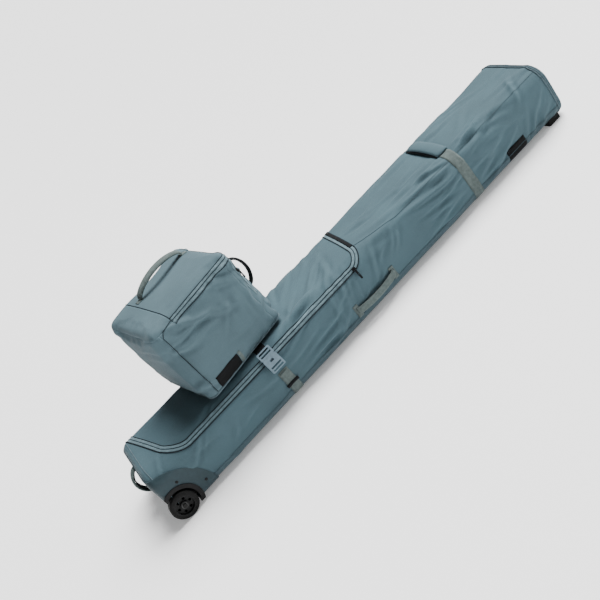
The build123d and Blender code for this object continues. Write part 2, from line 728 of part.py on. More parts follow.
slider_angle = ZIP_ANGLE + math.degrees((SLIDER_WIDTH / 2 + 1) / TOP_RADIUS)
main_slider_x = LID_HEAD_NEAR - LID_HEAD_ROUND + SLIDER_LENGTH / 2
main_zip_slider = slider(tangent_plane(main_slider_x, slider_angle, TAPE_THICK + FIT_GAP))
slider_top = tangent_plane(main_slider_x, slider_angle, TAPE_THICK + 2 * FIT_GAP + SLIDER_HEIGHT)
droop = tangent_plane(main_slider_x, slider_angle + PULL_DROOP, 0)
pull_root = slider_top.from_local_coords((0, -SLIDER_WIDTH / 2, 0))
main_pull_plane = Plane(pull_root, x_dir=droop.x_dir, z_dir=droop.z_dir)
main_zip_pull = pull(main_pull_plane)

# ---- Boot bag ------------------------------------------------------------------
boot_base = bag_top + STRAP_THICK + FIT_GAP
boot_axes = Plane((BOOT_X, BOOT_Y, boot_base), x_dir=(1, 0, 0), z_dir=(0, 0, 1)).rotated((0, 0, BOOT_YAW))
half_boot = BOOT_LENGTH / 2
half_boot_width = BOOT_WIDTH / 2
flap_seam = BOOT_HEIGHT - BOOT_EDGE_ROUND


def boot_core(inset):
    """The boot bag's filled outer shape, taken inwards by inset."""
    with BuildPart(boot_axes) as core:
        with BuildSketch(boot_axes.offset(inset)):
            RectangleRounded(BOOT_LENGTH - 2 * inset, BOOT_WIDTH - 2 * inset, BOOT_UPRIGHT_ROUND - inset)
        extrude(amount=BOOT_HEIGHT - 2 * inset)
        ends = core.faces().filter_by(Axis.Z)
        fillet(ends.edges(), BOOT_EDGE_ROUND - inset)
    return core.part


boot_outer = boot_core(0)
boot_inner = boot_core(BOOT_WALL)

with BuildPart() as boot_shell:
    add(boot_outer)
    add(boot_inner, mode=Mode.SUBTRACT)


def boot_panel(low, high, cut=None):
    """Piece of the boot bag's wall between two corners in the boot bag's axes."""
    with BuildPart(boot_axes) as panel:
        middle = tuple((a + b) / 2 for a, b in zip(low, high))
        with Locations(middle):
            Box(high[0] - low[0], high[1] - low[1], high[2] - low[2])
        if cut:
            middle = tuple((a + b) / 2 for a, b in zip(*cut))
            size = tuple(b - a for a, b in zip(*cut))
            with Locations(middle):
                Box(*size, mode=Mode.SUBTRACT)
    with BuildPart() as trimmed:
        add(boot_shell.part)
        add(panel.part, mode=Mode.INTERSECT)
    return trimmed


wide = BOOT_WIDTH
low_edge = BOOT_EDGE_ROUND
foot_edge = -half_boot + BOOT_UPRIGHT_ROUND
head_edge = half_boot - BOOT_UPRIGHT_ROUND
boot_back_panel = boot_panel((-half_boot, -wide, 0), (half_boot, wide, low_edge))
boot_foot_panel = boot_panel((-half_boot, -wide, low_edge), (foot_edge, wide, flap_seam))
boot_head_panel = boot_panel((head_edge, -wide, low_edge), (half_boot, wide, flap_seam))
boot_near_panel = boot_panel((foot_edge, -wide, low_edge), (head_edge, 0, flap_seam))
boot_far_panel = boot_panel((foot_edge, 0, low_edge), (head_edge, wide, flap_seam))
boot_front_panel = boot_panel((-half_boot, -wide, flap_seam), (FLAP_START, wide, BOOT_HEIGHT))
boot_flap = boot_panel(
    (FLAP_START + FIT_GAP, -wide, flap_seam + FIT_GAP), (half_boot, wide, BOOT_HEIGHT)
)

boot_trim_core = boot_core(-BOOT_PIPING)
boot_tape_core = boot_core(-TAPE_THICK)

with BuildPart() as boot_piping:
    add(boot_trim_core)
    add(boot_outer, mode=Mode.SUBTRACT)
    slab_low = boot_base + BOOT_PIPING_LOW
    keep_between((-bag_head, -bag_head, slab_low), (bag_head, bag_head, slab_low + BOOT_PIPING_HEIGHT))

with BuildPart(boot_axes) as boot_tape_block:
    with Locations(((FLAP_START + half_boot) / 2 + beyond / 2, 0, flap_seam - TAPE_WIDTH / 2)):
        Box(half_boot - FLAP_START + beyond, 2 * wide, TAPE_WIDTH)

with BuildPart(boot_axes) as edge_tape_block:
    with Locations((half_boot, -half_boot_width, (flap_seam + EDGE_TAPE_LOW) / 2)):
        Box(EDGE_TAPE_REACH, EDGE_TAPE_REACH, flap_seam - EDGE_TAPE_LOW)

with BuildPart() as boot_zip_run:
    add(boot_tape_block.part)
    add(edge_tape_block.part)

with BuildPart() as boot_zip_tape:
    add(boot_tape_core)
    add(boot_outer, mode=Mode.SUBTRACT)
    add(boot_zip_run.part, mode=Mode.INTERSECT)

with BuildPart(boot_axes) as flap_tape_block:
    with Locations(((FLAP_START + half_boot) / 2 + beyond / 2, 0, flap_seam + FIT_GAP + TAPE_WIDTH / 2)):
        Box(half_boot - FLAP_START + beyond, 2 * wide, TAPE_WIDTH)

with BuildPart() as flap_zip_tape:
    add(boot_tape_core)
    add(boot_outer, mode=Mode.SUBTRACT)
    add(flap_tape_block.part, mode=Mode.INTERSECT)

with BuildPart(boot_axes) as boot_patch_block:
    patch_middle = (
        BOOT_PATCH_START + BOOT_PATCH_LENGTH / 2,
        -wide / 2,
        BOOT_PATCH_LOW + BOOT_PATCH_HEIGHT / 2,
    )
    with Locations(patch_middle):
        Box(BOOT_PATCH_LENGTH, wide, BOOT_PATCH_HEIGHT)

with BuildPart() as boot_patch:
    add(boot_tape_core)
    add(boot_outer, mode=Mode.SUBTRACT)
    add(boot_patch_block.part, mode=Mode.INTERSECT)

drain_spot = boot_axes.from_local_coords((-half_boot, DRAIN_Y, DRAIN_Z))
drain_plane = Plane(drain_spot, x_dir=boot_axes.y_dir, z_dir=-boot_axes.x_dir)
with BuildPart(drain_plane) as drain_grommet:
    with BuildSketch(drain_plane):
        Circle(DRAIN_RADIUS)
        Circle(DRAIN_HOLE_RADIUS, mode=Mode.SUBTRACT)
    extrude(amount=DRAIN_THICK)


def boot_plane(x, y, z, x_dir, z_dir):
    """Plane placed and turned in the boot bag's own axes."""
    along = Vector(*x_dir).rotate(Axis.Z, BOOT_YAW)
    out = Vector(*z_dir).rotate(Axis.Z, BOOT_YAW)
    return Plane(boot_axes.from_local_coords((x, y, z)), x_dir=along, z_dir=out)


boot_handle_base = BOOT_HEIGHT + FIT_GAP + GRIP_THICK / 3
with BuildPart() as boot_handle:
    add(
        webbing(
            boot_plane(0, BOOT_HANDLE_Y, 0, (1, 0, 0), (0, -1, 0)),
            [
                (BOOT_HANDLE_START, boot_handle_base),
                (BOOT_HANDLE_START + BOOT_GRIP_SHOULDER, boot_handle_base + BOOT_SHOULDER_RISE),
                (BOOT_HANDLE_START + BOOT_GRIP_SLOPE, boot_handle_base + BOOT_HANDLE_RISE),
                (BOOT_HANDLE_END - BOOT_GRIP_SLOPE, boot_handle_base + BOOT_HANDLE_RISE),
                (BOOT_HANDLE_END - BOOT_GRIP_SHOULDER, boot_handle_base + BOOT_SHOULDER_RISE),
                (BOOT_HANDLE_END, boot_handle_base),
            ],
            GRIP_THICK,
            BOOT_GRIP_WIDTH,
            BOOT_GRIP_ROUND,
        )
    )

with BuildPart(boot_axes) as boot_handle_tabs:
    for end, way in ((BOOT_HANDLE_START, -1), (BOOT_HANDLE_END, 1)):
        with Locations((end + way * (HANDLE_TAB_LENGTH / 2 + 2), BOOT_HANDLE_Y, BOOT_HEIGHT + 1)):
            Box(HANDLE_TAB_LENGTH, BOOT_GRIP_WIDTH, 2)


def end_loop(y, low, high, depth):
    """Upright loop of narrow webbing standing out of the boot bag's head end."""
    face = half_boot + FIT_GAP + LOOP_THICK / 2
    rise = (high - low) / 4
    return webbing(
        boot_plane(0, y, 0, (1, 0, 0), (0, -1, 0)),
        [
            (face, high),
            (face + depth, high - rise),
            (face + depth, low + rise),
            (face, low),
        ],
        LOOP_THICK,
        LOOP_WIDTH,
        LOOP_ROUND,
    )


with BuildPart() as boot_haul_loop:
    add(end_loop(HAUL_LOOP_Y, HAUL_LOOP_LOW, HAUL_LOOP_HIGH, HAUL_LOOP_DEPTH))

top_loop_z = flap_seam - TAPE_WIDTH - LOOP_WIDTH / 2 - TOP_LOOP_DROP
top_face = half_boot + FIT_GAP + LOOP_THICK / 2
with BuildPart() as boot_top_loop:
    add(
        webbing(
            boot_plane(0, 0, top_loop_z, (1, 0, 0), (0, 0, 1)),
            [
                (top_face, TOP_LOOP_NEAR),
                (top_face + TOP_LOOP_DEPTH, TOP_LOOP_NEAR + TOP_LOOP_SLOPE),
                (top_face + TOP_LOOP_DEPTH, TOP_LOOP_FAR - TOP_LOOP_SLOPE),
                (top_face, TOP_LOOP_FAR),
            ],
            LOOP_THICK,
            LOOP_WIDTH,
            LOOP_ROUND,
        )
    )

# The boot bag's zip runs on down the near head edge, where its slider hangs.
edge_turn = math.radians(45)
edge_out = (math.sin(edge_turn), -math.cos(edge_turn), 0)
edge_centre = half_boot - BOOT_UPRIGHT_ROUND
edge_r = BOOT_UPRIGHT_ROUND + TAPE_THICK + FIT_GAP


def edge_plane(z, off):
    """Plane on the near head edge of the boot bag: X up, Z outwards."""
    reach = edge_r + off
    x = edge_centre + reach * edge_out[0]
    y = -(half_boot_width - BOOT_UPRIGHT_ROUND) + reach * edge_out[1]
    return boot_plane(x, y, z, (0, 0, 1), edge_out)


boot_zip_slider = slider(edge_plane(BOOT_SLIDER_Z, 0))
hang = edge_plane(BOOT_SLIDER_Z, SLIDER_HEIGHT + FIT_GAP)
boot_pull_plane = Plane(hang.origin, x_dir=-hang.y_dir, z_dir=hang.z_dir)
boot_zip_pull = pull(boot_pull_plane)

# ---- Names, origin and files ---------------------------------------------------
pieces = {
    "base_panel": base_panel,
    "foot_end_panel": foot_end_panel,
    "head_end_panel": head_end_panel,
    "near_side_panel": near_side_panel,
    "far_side_panel": far_side_panel,
    "foot_top_panel": foot_top_panel,
    "head_top_panel": head_top_panel,
    "shell_zip_tape": shell_zip_tape,
    "lid_panel": lid_panel,
    "lid_zip_tape": lid_zip_tape,
    "wheel_housing": wheel_housing,
    "housing_rivets": housing_rivets,
    "head_bumpers": head_bumpers,
    "base_board": base_board,
    "inner_ties": inner_ties,
    "foot_strap": foot_strap,
    "strap_keeper": strap_keeper,
    "lid_strap": lid_strap,
    "buckle_socket": buckle_socket,
    "buckle_plug": buckle_plug,
    "head_strap": head_strap,
    "head_handle": head_handle,
    "side_handle": side_handle,
    "side_handle_tabs": side_handle_tabs,
    "foot_handle": foot_handle,
    "foot_handle_tabs": foot_handle_tabs,
    "side_patch": side_patch,
    "main_zip_slider": main_zip_slider,
    "main_zip_pull": main_zip_pull,
    "boot_back_panel": boot_back_panel,
    "boot_foot_panel": boot_foot_panel,
    "boot_head_panel": boot_head_panel,
    "boot_near_panel": boot_near_panel,
    "boot_far_panel": boot_far_panel,
    "boot_front_panel": boot_front_panel,
    "boot_flap": boot_flap,
    "boot_piping": boot_piping,
    "boot_zip_tape": boot_zip_tape,
    "flap_zip_tape": flap_zip_tape,
    "boot_patch": boot_patch,
    "drain_grommet": drain_grommet,
    "boot_handle": boot_handle,
    "boot_handle_tabs": boot_handle_tabs,
    "boot_haul_loop": boot_haul_loop,
    "boot_top_loop": boot_top_loop,
    "boot_zip_slider": boot_zip_slider,
    "boot_zip_pull": boot_zip_pull,
}
for name, side in sides.items():
    pieces[f"arch_liner_{name}"] = arch_liner(side)
    pieces[f"axle_{name}"] = axle(side)
    pieces[f"tyre_{name}"] = tyre(side)
    pieces[f"hub_{name}"] = hub(side)
    pieces[f"bearings_{name}"] = bearings(side)

boxes = [piece.part.bounding_box() for piece in pieces.values()]
middle_x = (min(b.min.X for b in boxes) + max(b.max.X for b in boxes)) / 2
middle_y = (min(b.min.Y for b in boxes) + max(b.max.Y for b in boxes)) / 2
to_origin = Location((-middle_x, -middle_y, 0))
for name, piece in pieces.items():
    piece.part.label = name
    placed = piece.part.moved(to_origin)
    export_step(placed, f"parts/{name}.step")
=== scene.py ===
"""Wheeled ski bag with a boot bag on its lid: fabric, webbing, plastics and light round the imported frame.

Metres throughout. Working axes: X from the wheel end to the head end, -Y the carry handle's side, Z up.
Surface points of the ski bag are named (x, s): x along the bag from the wheels' front, s round its section,
starting under the middle and going up the near side, over the top and down the far side.
"""
import json
import math
import random
import bpy
import bmesh
import numpy as np
from mathutils import Matrix, Vector
from mathutils.bvhtree import BVHTree


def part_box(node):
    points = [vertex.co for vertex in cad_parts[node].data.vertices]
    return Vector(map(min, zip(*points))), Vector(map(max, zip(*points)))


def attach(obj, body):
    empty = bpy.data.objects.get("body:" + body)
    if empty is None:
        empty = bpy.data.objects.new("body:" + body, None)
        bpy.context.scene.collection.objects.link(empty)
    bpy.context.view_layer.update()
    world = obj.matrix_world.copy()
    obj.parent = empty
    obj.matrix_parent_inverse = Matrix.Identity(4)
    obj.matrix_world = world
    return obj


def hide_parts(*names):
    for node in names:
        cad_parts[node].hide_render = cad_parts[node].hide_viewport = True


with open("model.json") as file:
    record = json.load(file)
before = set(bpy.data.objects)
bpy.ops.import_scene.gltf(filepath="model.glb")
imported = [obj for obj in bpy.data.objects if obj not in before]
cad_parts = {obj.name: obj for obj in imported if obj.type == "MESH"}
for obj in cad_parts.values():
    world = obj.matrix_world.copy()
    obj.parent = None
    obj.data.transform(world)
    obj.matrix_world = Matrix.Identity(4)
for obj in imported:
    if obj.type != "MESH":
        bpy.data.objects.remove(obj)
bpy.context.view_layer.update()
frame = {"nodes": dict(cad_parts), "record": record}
random.seed(7)

# ---- Places taken from the frame -----------------------------
base_low, base_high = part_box("base_panel")
FOOT_X = 0.024               # fabric's foot end, in working x
ORIGIN_X = base_low.x - FOOT_X
MID_Y = (base_low.y + base_high.y) / 2
HALF = (base_high.y - base_low.y) / 2
LOW = base_low.z
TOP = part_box("head_top_panel")[1].z
HEAD_X = base_high.x - ORIGIN_X
TOP_R = 0.060                # radius of the long top edges
LOW_R = 0.035                # and of the long low edges
END_R = 0.025                # and round both ends
ZIP_ANGLE = math.radians(52)     # the zip's place on the near top edge, from upright
TAPE = 0.011                 # width of each zip tape

# ---- Colours, linear -----------------------------------------
SHELL = (0.056, 0.096, 0.114)
SHELL_DARK = (0.044, 0.073, 0.086)
BOOT = (0.066, 0.106, 0.124)
WEB = (0.090, 0.115, 0.112)
TAPE_GREY = (0.120, 0.180, 0.205)
SEAM_DARK = (0.009, 0.015, 0.019)
BUCKLE = (0.130, 0.185, 0.225)
BLACK = (0.0032, 0.0034, 0.0038)


def at(x, y, z):
    """Point of the working axes (x from the wheels' front, y from the bag's middle, z from the floor)."""
    return Vector((ORIGIN_X + x, MID_Y + y, z))


# ---- Node materials ------------------------------------------
class Nodes:
    """Short names for building a node tree."""

    def __init__(self, name):
        self.material = bpy.data.materials.new(name)
        self.material.use_nodes = True
        self.tree = self.material.node_tree
        self.shader = self.tree.nodes["Principled BSDF"]

    def add(self, kind, **values):
        node = self.tree.nodes.new(kind)
        for key, value in values.items():
            setattr(node, key, value)
        return node

    def link(self, a, b):
        self.tree.links.new(a, b)

    def put(self, name, value):
        """Give an input of the shader a number or a link."""
        if isinstance(value, (int, float)):
            self.shader.inputs[name].default_value = value
        else:
            self.link(value, self.shader.inputs[name])

    def place(self):
        return self.add("ShaderNodeTexCoord").outputs["Object"]

    def math(self, operation, a, b=0.0):
        node = self.add("ShaderNodeMath", operation=operation)
        for slot, value in zip(node.inputs, (a, b)):
            if isinstance(value, (int, float)):
                slot.default_value = value
            else:
                self.link(value, slot)
        return node.outputs[0]

    def noise(self, vector, scale, detail=3.0, roughness=0.55):
        node = self.add("ShaderNodeTexNoise")
        node.inputs["Scale"].default_value = scale
        node.inputs["Detail"].default_value = detail
        node.inputs["Roughness"].default_value = roughness
        self.link(vector, node.inputs["Vector"])
        return node.outputs["Fac"]

    def mix(self, factor, a, b):
        node = self.add("ShaderNodeMix", data_type="RGBA")
        self.link(factor, node.inputs["Factor"])
        for slot, value in (("A", a), ("B", b)):
            socket = [i for i in node.inputs if i.name == slot and i.type == "RGBA"][0]
            if isinstance(value, tuple):
                socket.default_value = (*value, 1)
            else:
                self.link(value, socket)
        return [o for o in node.outputs if o.type == "RGBA"][0]

    def span(self, value, low, high):
        node = self.add("ShaderNodeMapRange")
        self.link(value, node.inputs["Value"])
        node.inputs["From Min"].default_value = 0.35
        node.inputs["From Max"].default_value = 0.65
        node.inputs["To Min"].default_value = low
        node.inputs["To Max"].default_value = high
        return node.outputs["Result"]

    def bump(self, height, strength, distance, normal=None):
        node = self.add("ShaderNodeBump")
        node.inputs["Strength"].default_value = strength
        node.inputs["Distance"].default_value = distance
        self.link(height, node.inputs["Height"])
        if normal:
            self.link(normal, node.inputs["Normal"])
        return node.outputs["Normal"]


def weave_height(n, place, pitch):
    """Plain weave in the row frame, crossing threads on every face direction."""
    split = n.add("ShaderNodeSeparateXYZ")
    n.link(place, split.inputs[0])
    wave = 2 * math.pi / pitch
    along = n.math("SINE", n.math("MULTIPLY", split.outputs[0], wave))
    up = n.math("ADD", split.outputs[1], split.outputs[2])
    across = n.math("SINE", n.math("MULTIPLY", up, wave))
    return n.math("MULTIPLY", along, across)


def shades(colour, down, up):
    """The dark and the light end of a colour's mottling."""
    return tuple(c * down for c in colour), tuple(min(1, c * up) for c in colour)


def cloth_material(name, colour, rough=0.78, pitch=0.0018, fade=0.10, sheen=0.04):
    """Woven polyester: thread-scale weave, soft mottling and a fine grain."""
    n = Nodes(name)
    place = n.place()
    weave = weave_height(n, place, pitch)
    mottle = n.noise(place, 7, 4)
    grain = n.noise(place, 420, 2)
    base = n.mix(n.span(mottle, 0.0, 1.0), *shades(colour, 1 - fade, 1 + fade))
    n.put("Base Color", n.mix(n.span(grain, 0.0, 0.35), base, tuple(c * 1.35 for c in colour)))
    n.put("Roughness", n.span(mottle, rough - 0.07, rough + 0.07))
    soft = n.bump(n.noise(place, 38, 4), 0.22, 0.004)
    fine = n.bump(grain, 0.25, 0.0006, soft)
    n.put("Normal", n.bump(weave, 0.35, 0.0003, fine))
    n.put("Sheen Weight", sheen)
    n.put("Sheen Roughness", 0.45)
    n.put("Specular IOR Level", 0.12)
    return n.material


def webbing_material(name, colour, rib=0.0022):
    """Flat webbing: ribs across and lines along, in the band's own lengthwise measure."""
    rough = 0.8
    n = Nodes(name)
    split = n.add("ShaderNodeSeparateXYZ")
    n.link(n.add("ShaderNodeUVMap").outputs[0], split.inputs[0])
    ribs = n.math("SINE", n.math("MULTIPLY", split.outputs[0], 2 * math.pi / rib))
    rows = n.math("SINE", n.math("MULTIPLY", split.outputs[1], 2 * math.pi / (rib * 1.6)))
    height = n.math("ADD", n.math("MULTIPLY", ribs, 0.6), n.math("MULTIPLY", rows, 0.4))
    worn = n.noise(n.place(), 90, 4)
    n.put("Base Color", n.mix(n.span(worn, 0.0, 1.0), *shades(colour, 0.82, 1.18)))
    n.put("Roughness", n.span(worn, rough - 0.08, rough + 0.08))
    n.put("Normal", n.bump(height, 0.6, 0.0004, n.bump(worn, 0.2, 0.001)))
    n.put("Sheen Weight", 0.03)
    n.put("Specular IOR Level", 0.1)
    return n.material


def plastic_material(name, colour, rough=0.45, grain=900, depth=0.0002):
    """Moulded plastic with a fine spark texture and small scuffs."""
    n = Nodes(name)
    place = n.place()
    spark = n.noise(place, grain, 2)
    scuff = n.noise(place, 60, 6, 0.7)
    n.put("Base Color", n.mix(n.span(scuff, 0.0, 1.0), *shades(colour, 0.9, 1.12)))
    n.put("Roughness", n.span(scuff, rough - 0.1, rough + 0.1))
    n.put("Normal", n.bump(spark, 0.4, depth, n.bump(scuff, 0.12, 0.0006)))
    n.put("Specular IOR Level", 0.16)
    return n.material


def steel_material(name):
    """Dull dark bearing steel."""
    n = Nodes(name)
    marks = n.noise(n.place(), 500, 4)
    n.put("Base Color", n.mix(n.span(marks, 0.0, 1.0), (0.035, 0.035, 0.036), (0.06, 0.06, 0.06)))
    n.put("Roughness", n.span(marks, 0.25, 0.4))
    n.put("Metallic", 1.0)
    return n.material


looks = {
    "shell_fabric": cloth_material("shell_fabric", SHELL),
    "base_fabric": cloth_material("base_fabric", SHELL_DARK, rough=0.6, pitch=0.0026),
    "boot_fabric": cloth_material("boot_fabric", BOOT),
    "zip_tape": webbing_material("zip_tape", TAPE_GREY, rib=0.0012),
    "seam": cloth_material("seam", SEAM_DARK, pitch=0.001),
    "webbing": webbing_material("webbing", WEB),
    "black_webbing": webbing_material("black_webbing", (0.005, 0.006, 0.007)),
    "piping": webbing_material("piping", (0.09, 0.13, 0.15), rib=0.0014),
    "housing_plastic": plastic_material("housing_plastic", (0.026, 0.045, 0.053), rough=0.5),
    "buckle_plastic": plastic_material("buckle_plastic", BUCKLE, rough=0.4),
    "black_plastic": plastic_material("black_plastic", BLACK, rough=0.45),
    "board_plastic": plastic_material("board_plastic", (0.03, 0.03, 0.03), rough=0.6),
    "tyre": plastic_material("tyre", (0.003, 0.003, 0.003), rough=0.62, grain=500, depth=0.0004),
    "bearing_steel": steel_material("bearing_steel"),
    "axle_steel": plastic_material("axle_steel", (0.005, 0.005, 0.005), rough=0.35),
    "bumper_rubber": plastic_material("bumper_rubber", (0.004, 0.004, 0.004), rough=0.7),
    "patch_black": cloth_material("patch_black", (0.0022, 0.0026, 0.003), rough=0.7, fade=0.25, sheen=0.0),
}
thread = cloth_material("thread", (0.10, 0.15, 0.17), pitch=0.0007)

for part in frame["record"]["subparts"]:
    node = frame["nodes"][part["node"]]
    node.data.materials.clear()
    node.data.materials.append(looks[part["material_slot"]])


# ---- The ski bag's ideal surface -----------------------------
def section_parts():
    """The section's stretches in order: (kind, length), flats and corner arcs, from under the middle."""
    low_flat = HALF - LOW_R
    side = TOP - LOW - LOW_R - TOP_R
    top = 2 * (HALF - TOP_R)
    low_arc = LOW_R * math.pi / 2
    top_arc = TOP_R * math.pi / 2
    return [low_flat, low_arc, side, top_arc, top, top_arc, side, low_arc, low_flat]


PARTS = section_parts()
ENDS = np.cumsum(PARTS)
STARTS = ENDS - PARTS
GIRTH = float(ENDS[-1])
S_NEAR_BASE = float(STARTS[1])     # base meets the near low edge
S_NEAR_LOW = float(ENDS[1])        # near low edge meets the near side
S_NEAR_TOP = float(STARTS[3])      # near side meets the near top edge
S_TOP = float(STARTS[4])           # near top edge meets the flat top
S_FAR = float(ENDS[5])             # far top edge meets the far side: the lid's hinge line
S_FAR_LOW = float(STARTS[7])       # far side meets the far low edge
S_FAR_BASE = float(ENDS[7])        # far low edge meets the base
CORNERS = ((-1, LOW, LOW_R), (-1, TOP, TOP_R), (1, TOP, TOP_R), (1, LOW, LOW_R))


def section_at(s, inset=0.0):
    """y, z and outward direction at distance s round the section, taken inwards by inset."""
    s = np.mod(np.asarray(s, float), GIRTH)
    inset = np.broadcast_to(np.asarray(inset, float), s.shape)
    part = np.clip(np.searchsorted(ENDS, s, side="right"), 0, len(PARTS) - 1)
    share = (s - STARTS[part]) / np.asarray(PARTS)[part]
    middle = (LOW + TOP) / 2

    def corner(k):
        side, level, radius = CORNERS[k]
        keep = np.maximum(radius - inset, 0)
        back = np.maximum(radius, inset)
        cy = side * (HALF - back)
        cz = level + back if level < middle else level - back
        return cy, cz, keep

    y, z = np.zeros_like(s), np.zeros_like(s)
    ny, nz = np.zeros_like(s), np.zeros_like(s)
    turns = {1: (0, -90, -180), 3: (1, 180, 90), 5: (2, 90, 0), 7: (3, 0, -90)}
    for k, (c, start, end) in turns.items():
        m = part == k
        cy, cz, keep = corner(c)
        a = np.radians(start + (end - start) * share)
        dy, dz = np.cos(a), np.sin(a)
        y[m], z[m] = (cy + keep * dy)[m], (cz + keep * dz)[m]
        ny[m], nz[m] = dy[m], dz[m]
    flats = {0: (None, 0, 0, -1), 2: (0, 1, -1, 0), 4: (1, 2, 0, 1), 6: (2, 3, 1, 0), 8: (3, None, 0, -1)}
    for k, (a, b, dy, dz) in flats.items():
        m = part == k
        ends = []
        for c in (a, b):
            if c is None:
                ends.append((np.zeros_like(s), LOW + inset))
            else:
                cy, cz, keep = corner(c)
                ends.append((cy + keep * dy, cz + keep * dz))
        y[m] = (ends[0][0] + (ends[1][0] - ends[0][0]) * share)[m]
        z[m] = (ends[0][1] + (ends[1][1] - ends[0][1]) * share)[m]
        ny[m], nz[m] = dy, dz
    return y, z, ny, nz


def bag_surface(x, s):
    """Ideal points and outward normals of the ski bag at (x, s), with its rounded ends."""
    x, s = np.broadcast_arrays(np.asarray(x, float), np.asarray(s, float))
    into = np.minimum(x - FOOT_X, HEAD_X - x)
    lean = np.clip((END_R - into) / END_R, 0, 1)
    inset = END_R * (1 - np.sqrt(1 - lean ** 2))
    y, z, ny, nz = section_at(s, inset)
    flat = np.sqrt(1 - lean ** 2)
    nx = np.where(x < (FOOT_X + HEAD_X) / 2, -lean, lean)
    points = np.stack([ORIGIN_X + x, MID_Y + y, z], -1)
    normals = np.stack([nx, ny * flat, nz * flat], -1)
    return points, normals


def s_of_plan(y):
    """s on the top of the bag under plan position y, from the near top corner to the far one."""
    y = np.asarray(y, float)
    arc_y = HALF - TOP_R
    near = S_TOP - TOP_R * np.arcsin(np.clip((-y - arc_y) / TOP_R, 0, 1))
    far = S_TOP + 2 * arc_y + TOP_R * np.arcsin(np.clip((y - arc_y) / TOP_R, 0, 1))
    return np.where(y < -arc_y, near, np.where(y > arc_y, far, S_TOP + arc_y + y))


def rounded(points, radii, step=0.004):
    """Plan line through points, its inner corners rounded by arcs, in even steps."""
    path = [Vector(points[0])]
    for k in range(1, len(points) - 1):
        p, a, b = Vector(points[k]), Vector(points[k - 1]), Vector(points[k + 1])
        u, v = (a - p).normalized(), (b - p).normalized()
        half = u.angle(v) / 2
        reach = radii[k - 1] / math.tan(half)
        centre = p + (u + v).normalized() * radii[k - 1] / math.sin(half)
        start, end = p + u * reach, p + v * reach
        turn = math.pi - 2 * half
        for t in np.linspace(0, 1, max(4, int(turn * radii[k - 1] / step))):
            arm = (start - centre).lerp(end - centre, t)
            path.append(centre + arm.normalized() * radii[k - 1])
    path.append(Vector(points[-1]))
    return resample(np.array([list(p) for p in path]), step)


def run_of(line):
    """Distance along a line at each of its points."""
    return np.r_[0, np.cumsum(np.linalg.norm(np.diff(line, axis=0), axis=1))]


def resample(path, step):
    """The same line with points at even steps."""
    path = np.asarray(path, float)
    run = run_of(path)
    count = max(2, int(round(run[-1] / step)) + 1)
    at_run = np.linspace(0, run[-1], count)
    return np.stack([np.interp(at_run, run, path[:, k]) for k in range(path.shape[1])], -1)


# The lid's outline in plan: foot end across, the near run, head end across.
zip_y = -(HALF - TOP_R) - TOP_R * math.sin(ZIP_ANGLE)
LID_PLAN = [(0.0526, HALF), (0.148, zip_y), (1.026, zip_y), (1.0490, HALF)]
lid_plan = rounded(LID_PLAN, (0.090, 0.055))
lid_line = np.stack([lid_plan[:, 0], s_of_plan(lid_plan[:, 1])], -1)


def inside_lid(x, s):
    """True for places (x, s) inside the lid's outline."""
    plan_y, _, _, _ = section_at(s)
    order = np.argsort(lid_plan[:, 0])
    near = np.interp(x, lid_plan[order, 0], lid_plan[order, 1], left=1, right=1)
    on_top = (s > S_NEAR_TOP - 1e-6) & (s < S_FAR + 1e-6)
    return on_top & (plan_y > near)


# ---- Shape of the filled cloth -------------------------------
def bell(t, width):
    return np.exp(-(t / width) ** 2)


FOLD_GAIN = 1.8              # on every fold's depth
FOOT_STRAP = 0.578           # middles of the two straps, in working x
HEAD_STRAP = 1.490
HOUSING_X, HOUSING_Z = 0.02, 0.01    # the wheel housing's middle, which the cloth keeps clear of
BOOT_X, BOOT_Y, BOOT_YAW = 0.504, 0.048, math.radians(10.8)
BOOT_HALF = (0.180, 0.1725, 0.1585)
BOOT_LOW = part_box("boot_back_panel")[0].z
boot_turn = Matrix.Rotation(BOOT_YAW, 3, "Z")


def under_boot(x, y):
    """1 under the boot bag, 0 well away from it."""
    local = np.stack([x - BOOT_X, y - BOOT_Y], -1) @ np.array(boot_turn)[:2, :2]
    out_x = np.maximum(np.abs(local[..., 0]) - BOOT_HALF[0], 0)
    out_y = np.maximum(np.abs(local[..., 1]) - BOOT_HALF[1], 0)
    return bell(np.hypot(out_x, out_y), 0.022)


def crease(x, s, x0, s0, length, width, degrees, depth):
    """One fold: a rounded ridge of the given length, falling away on both sides, with a sharper valley."""
    a = math.radians(degrees)
    u = (x - x0) * math.cos(a) + (s - s0) * math.sin(a)
    v = -(x - x0) * math.sin(a) + (s - s0) * math.cos(a)
    bend = 0.25 * width * np.sin(u / length * 2.2 + x0 * 40)
    ridge = bell(v + bend, width) - 0.9 * bell(v + bend + 1.25 * width, 0.75 * width)
    return FOLD_GAIN * depth * ridge * bell(u, length)


def scatter(regions, first_seed):
    """Seeded folds spread over regions: how many, then the ranges of crease's x0, s0, length and so on."""
    folds = []
    for seed, (count, *spans) in enumerate(regions, first_seed):
        pick = random.Random(seed)
        folds += [tuple(pick.uniform(*span) for span in spans) for _ in range(count)]
    return folds


side_mid = float(STARTS[2] + PARTS[2] / 2)
near_band = (S_NEAR_BASE, S_TOP)
top_band = (S_NEAR_TOP, S_FAR)
far_band = (S_FAR - 0.06, S_FAR_BASE)
grip_band = (side_mid - 0.03, side_mid + 0.07)
lid_band = (S_NEAR_TOP + 0.07, S_FAR - 0.08)


def beside(strap, start, end):
    """Range of x from start to end past the middle of a strap."""
    return (strap + start, strap + end)


